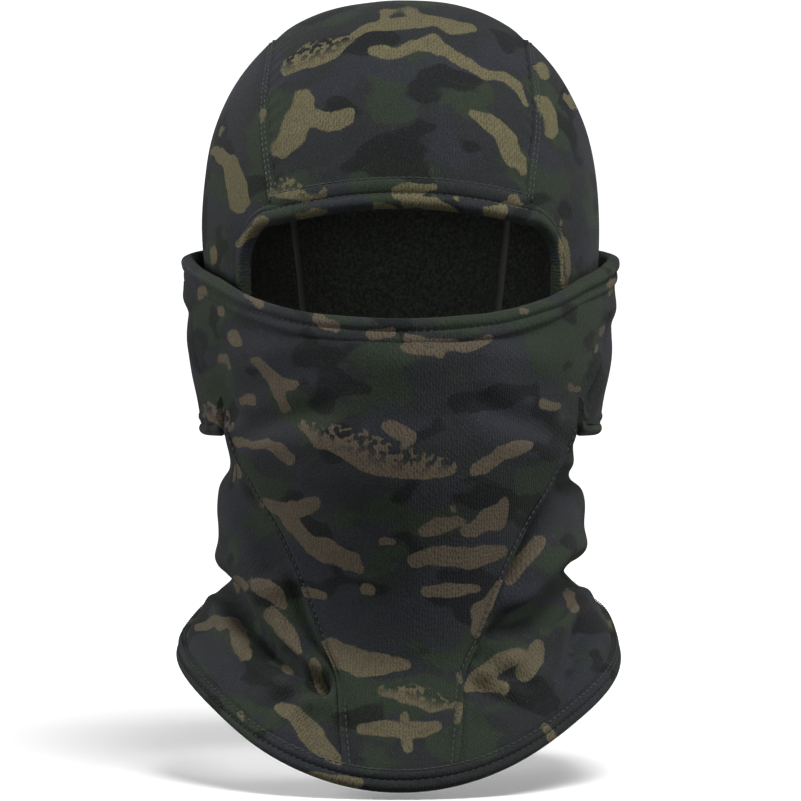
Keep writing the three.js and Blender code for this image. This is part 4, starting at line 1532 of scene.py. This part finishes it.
@dataclass
class Cape(Tailor):
    """Neck panels, back panel, bib seams and the hem round the bottom."""

    mask: Mask

    def build(self) -> None:
        """Sews the neck and cape."""
        for side in Side:
            self.neck_panel(side)
            self.bib_seam(side)
        self.back_panel()
        self.inner_seams()
        self.hems()

    def folds(self, p: Array, size: Array, v: Array, seed: int) -> Array:
        """Slack of the neck and the cape's folds, fading below into the hem's own line."""
        fan = smooth((v - 0.6) / 0.3)
        creases = 1.6 * (1 - fan) * np.sin((p[..., 2] + 0.25 * p[..., 1]) / 8.5) * bell(v, 0.34, 0.2)
        creases = creases * smooth((size - 80) / 25) * (0.6 + 0.4 * layered(p / 30, seed + 3, 2))
        slack = 1.9 * fold_noise(p, (30, 30, 24), seed + 7)
        chosen = creased(p, self.maker.pattern.seen(p), CAPE_CREASES)
        own = (creases + slack + chosen) * smooth(v / 0.12)
        return mix(own, hem_line(p), near_hem(v))

    def neck_panel(self, side: Side) -> None:
        """A neck panel, tucked under the bib's seam, full at the side and folded on the cape."""
        s, form = self.s, self.form
        v = np.linspace(0, PANEL_END, 130)[:, None]
        u = np.linspace(0, 1, 150)[None]
        angle = mix(form.bib_angle(v) - 5.5, s.back_panel_angle - 0.1, u)
        surface = form.neck(angle, v + 0 * u, False)
        seam = (angle - form.bib_angle(v)) * 1.4
        mirrored = surface * side.mirror
        line = hem_line(mirrored) * near_hem(v)
        beside = smooth(seam / 12) * (1 - smooth((u - 0.95) / 0.05))
        raise_by = line + (self.folds(mirrored, angle, v, 101 + side.value) - line) * beside
        valley = 4.2 * bell(seam, 7, 6) * smooth((v - 0.02) / 0.1) * (1 - smooth((v - 0.62) / 0.3))
        raise_by = raise_by - valley - 1.5 * (1 - smooth((seam + 1) / 4))
        cloth = make_cloth(surface, raise_by, s.cloth)
        cloth.shapes = NECK_PRINT
        piece = self.maker.cloth(f"{side.word}_neck_cloth", cloth, side.value)
        nodes = (f"{side.word}_neck_panel", f"{side.word}_neck_lining")
        self.sew(piece, "camo_knit", nodes, (0.185, 0.15), 0.0195, (f"{side.word}_side_cloth",))
        self.mask.pull_neck(piece)

    def bib_seam(self, side: Side) -> None:
        """The seam down the bib's edge: a ridge with a stitch row."""
        form = self.form
        v = np.linspace(0.015, 0.955, 260)
        angle = form.bib_angle(v)
        path = form.neck(angle, v, True) * side.mirror
        inside = form.neck(angle - 1, v, True) * side.mirror
        out, inward = self.frame_of(path, inside)
        path = path + out * (hem_line(path) * near_hem(v))[:, None]
        profile = band_profile(4.0, ((1.3, 1.3, 0.9), (3.1, 0.9, 0.5)), 2.0, 0.3, 16)
        piece = self.maker.band(
            f"bib_seam_ridge_{side.word}", path - inward * 0.8, out, inward, profile, shapes=BIB_PRINT
        )
        self.sew(piece, "mask_knit", (f"bib_seam_{side.word}",))
        self.mask.pull_neck(piece)
        row = self.maker.stitches(f"bib_stitches_{side.word}", path + inward * 2.6, out, 2.8, 2.1, 0.25, 0.6)
        self.mask.pull_neck(self.sew(row, "thread"))

    def back_panel(self) -> None:
        """The back of the neck."""
        s, form = self.s, self.form
        v = np.linspace(0, PANEL_END, 80)[:, None]
        u = np.linspace(-1, 1, 100)[None]
        angle = 180 + u * (180 - s.back_panel_angle - 0.2)
        surface = form.neck(np.where(angle > 180, angle - 360, angle), v + 0 * u, False)
        line = hem_line(surface) * near_hem(v)
        own = self.folds(surface, 180 - np.abs(angle - 180), v, 131)
        raise_by = line + (own - line) * smooth((1 - np.abs(u)) / 0.12)
        cloth = make_cloth(surface, raise_by, s.cloth)
        piece = self.maker.cloth("back_neck_cloth", cloth)
        nodes = ("back_neck_panel", "back_neck_lining")
        self.sew(piece, "camo_knit", nodes, (0.1, 0.078), 0.0068, ("crown_cloth",))
        self.mask.pull_neck(piece)

    def inner_seams(self) -> None:
        """Flatlock seams round the neck under the hood and down each side of the back panel."""
        s, form = self.s, self.form
        round_neck = np.linspace(s.fold_end + 3, 360 - s.fold_end - 3, 500)
        signed = np.where(round_neck > 180, round_neck - 360, round_neck)
        z = np.full_like(signed, s.hood_end_z)
        neck_line = form.on_section(form.hood_level(z), signed, z)
        rows = [("neck_seam", neck_line, np.array([0.0, 0.0, 1.0]), z * 0)]
        v = np.linspace(0.01, 0.95, 120)
        for side in Side:
            angle = np.full_like(v, s.back_panel_angle * side.value)
            rows.append(
                (f"back_seam_{side.word}", form.neck(angle, v, False), np.array([-side.value, 0.3, 0.0]), v)
            )
        for name, path, towards, down in rows:
            out, inward = self.frame_of(path, path + towards)
            inward = unit(inward - out * (inward * out).sum(-1, keepdims=True))
            path = path + out * (hem_line(path) * near_hem(down) - 0.5)[:, None]
            profile = band_profile(5.0, TWIN_RIDGE, 1.6, 0.25, 16)
            start = path - inward * 2.5
            piece = self.maker.band(f"{name}_ridge", start, out, inward, profile, shapes=NECK_PRINT)
            self.mask.pull_neck(self.sew(piece, "camo_knit"))
            row = self.maker.stitches(f"{name}_stitches", path, out, 2.6, 2.0, 0.26, 0.5)
            self.mask.pull_neck(self.sew(row, "thread"))
            profile = band_profile(*BINDING)
            under = path - out * (s.cloth - 0.3) - inward * 2.25
            piece = self.maker.band(f"{name}_binding", under, -out, inward, profile, "binding")
            self.mask.pull_neck(self.sew(piece, "fleece"))

    def hems(self) -> None:
        """The hem round the cape: a band with two stitch rows, in one run."""
        s, form = self.s, self.form
        angle = np.linspace(-180, 180, 721)[:-1]
        path = form.neck(angle, np.ones_like(angle), False)
        above = form.neck(angle, np.full_like(angle, 0.985), False)
        out, inward = self.frame_of(path, above)
        path = path + out * hem_line(path)[:, None]
        profile = band_profile(s.bottom_hem, ((2.5, 2.5, 2.1), (7.1, 2.1, 1.6)), s.cloth + 0.6, 0.3)
        piece = self.maker.band(
            "cape_hem_roll", path, out, inward, profile, shapes=NECK_PRINT + BIB_PRINT, closed=True
        )
        nodes = ("front_hem", "left_hem", "right_hem", "back_hem")
        self.sew(piece, "hem_knit", nodes)
        self.mask.pull_neck(piece)
        for word, distance in (("low", 4.95), ("high", 9.1)):
            name, row_path = f"cape_hem_stitches_{word}", path + inward * distance
            row = self.maker.stitches(name, row_path, out, 3.0, 2.3, 0.26, 0.6)
            self.mask.pull_neck(self.sew(row, "thread"))


# ---- stage --------------------------------------------------------------------------------


@dataclass(frozen=True)
class Studio:
    """A pale floor and backdrop, soft lights and a camera level with the mask."""

    sizes: Sizes
    eye_distance: float = 1650.0
    view_width: float = 343.8
    view_z: float = -168.5
    sensor: float = 36.0
    sky: float = 0.2

    def build(self) -> None:
        """Makes the stage."""
        self.camera()
        self.floor()
        self.lights()
        bpy.context.scene.view_settings.view_transform = "Standard"

    def camera(self) -> None:
        """A long lens in front of the face."""
        data = bpy.data.cameras.new("camera")
        data.sensor_width = self.sensor
        data.lens = self.sensor * self.eye_distance / self.view_width
        eye = bpy.data.objects.new("camera", data)
        eye.location = (0, -self.eye_distance * MM, self.view_z * MM)
        eye.rotation_euler = (math.pi / 2, 0, 0)
        bpy.context.scene.collection.objects.link(eye)
        bpy.context.scene.camera = eye

    def floor(self) -> None:
        """One pale sheet, round in plan: level under the cape, then curving up on every side."""
        low = self.sizes.hem_front_z - 3
        turn = np.linspace(0, np.pi / 2, 16)
        flat, bend = 4500.0, 1500.0
        reach = np.concatenate([[0.01, 400, 900, 1800, 3000], flat + bend * np.sin(turn), [flat + bend]])
        z = np.concatenate([np.full(5, low), low + bend * (1 - np.cos(turn)), [low + 9000]])
        around = np.radians(np.linspace(0, 360, 97))
        points = np.stack(
            [np.outer(np.cos(around), reach), np.outer(np.sin(around), reach), np.tile(z, (97, 1))], axis=-1
        ).reshape(-1, 3)
        mesh = bpy.data.meshes.new("backdrop")
        mesh.from_pydata((points * MM).tolist(), [], grid_faces(97, len(reach)).tolist())
        mesh.polygons.foreach_set("use_smooth", np.ones(len(mesh.polygons), bool))
        sheet = bpy.data.objects.new("backdrop", mesh)
        sheet.visible_diffuse = sheet.visible_glossy = sheet.visible_shadow = False
        m = Shader("pale_paper")
        place = m.node("ShaderNodeNewGeometry", None, None, "Position")
        level = m.node("ShaderNodeVectorMath", {"operation": "MULTIPLY"}, {0: place, 1: (1.0, 1.0, 0.0)})
        distance = m.node("ShaderNodeVectorMath", {"operation": "LENGTH"}, {0: level}, "Value")
        glow = m.step(distance, 0.2, 1.1)
        m.feed(m.surface.inputs["Emission Color"], m.blend(glow, (0.15, 0.15, 0.15, 1), (1, 1, 1, 1)))
        m.constants(Base_Color=(0.8, 0.8, 0.8, 1), Roughness=0.9, Emission_Strength=0.95)
        mesh.materials.append(m.material)
        bpy.context.scene.collection.objects.link(sheet)

    def lights(self) -> None:
        """A large soft light above, one in front, one at each side, and a gentle sky."""
        for name, place, size, power in (
            ("top_light", (0.3, -0.8, 0.9), 0.6, 27.0),
            ("front_light", (-0.15, -2.3, -0.05), 0.8, 11.5),
            ("left_rim", (-1.3, -0.1, 0.15), 0.6, 17.0),
            ("right_rim", (1.4, -0.2, 0.0), 0.6, 13.0),
        ):
            data = bpy.data.lights.new(name, "AREA")
            data.size, data.energy = size, power
            lamp = bpy.data.objects.new(name, data)
            lamp.location = place
            aim = Vector((0, 0, self.view_z * MM)) - Vector(place)
            lamp.rotation_euler = aim.to_track_quat("-Z", "Y").to_euler()
            bpy.context.scene.collection.objects.link(lamp)
        world = bpy.data.worlds.new("sky")
        world.use_nodes = True
        background = world.node_tree.nodes["Background"]
        background.inputs[0].default_value = (1, 1, 1, 1)
        background.inputs[1].default_value = self.sky
        bpy.context.scene.world = world


def clear_scene() -> None:
    """Empties the file that Blender starts with."""
    for thing in list(bpy.data.objects):
        bpy.data.objects.remove(thing)


def main() -> None:
    """Builds every sub-assembly in order."""
    logging.basicConfig(level=logging.INFO, format="%(message)s")
    clear_scene()
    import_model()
    sizes = Sizes.from_frame()
    studio = Studio(sizes)
    studio.build()
    finishes = {
        "knit": PrintedKnit("printed_knit").build(),
        "hem_knit": PrintedKnit("hem_printed_knit", loops_per_cm=7.0).build(),
        "fleece": Fleece().build(),
        "thread": Thread().build(),
        "binding": Thread("seam_binding", srgb(74, 77, 73), srgb(112, 116, 110)).build(),
    }
    form = Form(sizes)
    maker = Maker(Print(studio.eye_distance, studio.view_z), finishes)
    Hood(form, maker).build()
    mask = Mask(form, maker)
    mask.build()
    Cape(form, maker, mask).build()


if __name__ == "__main__":
    main()
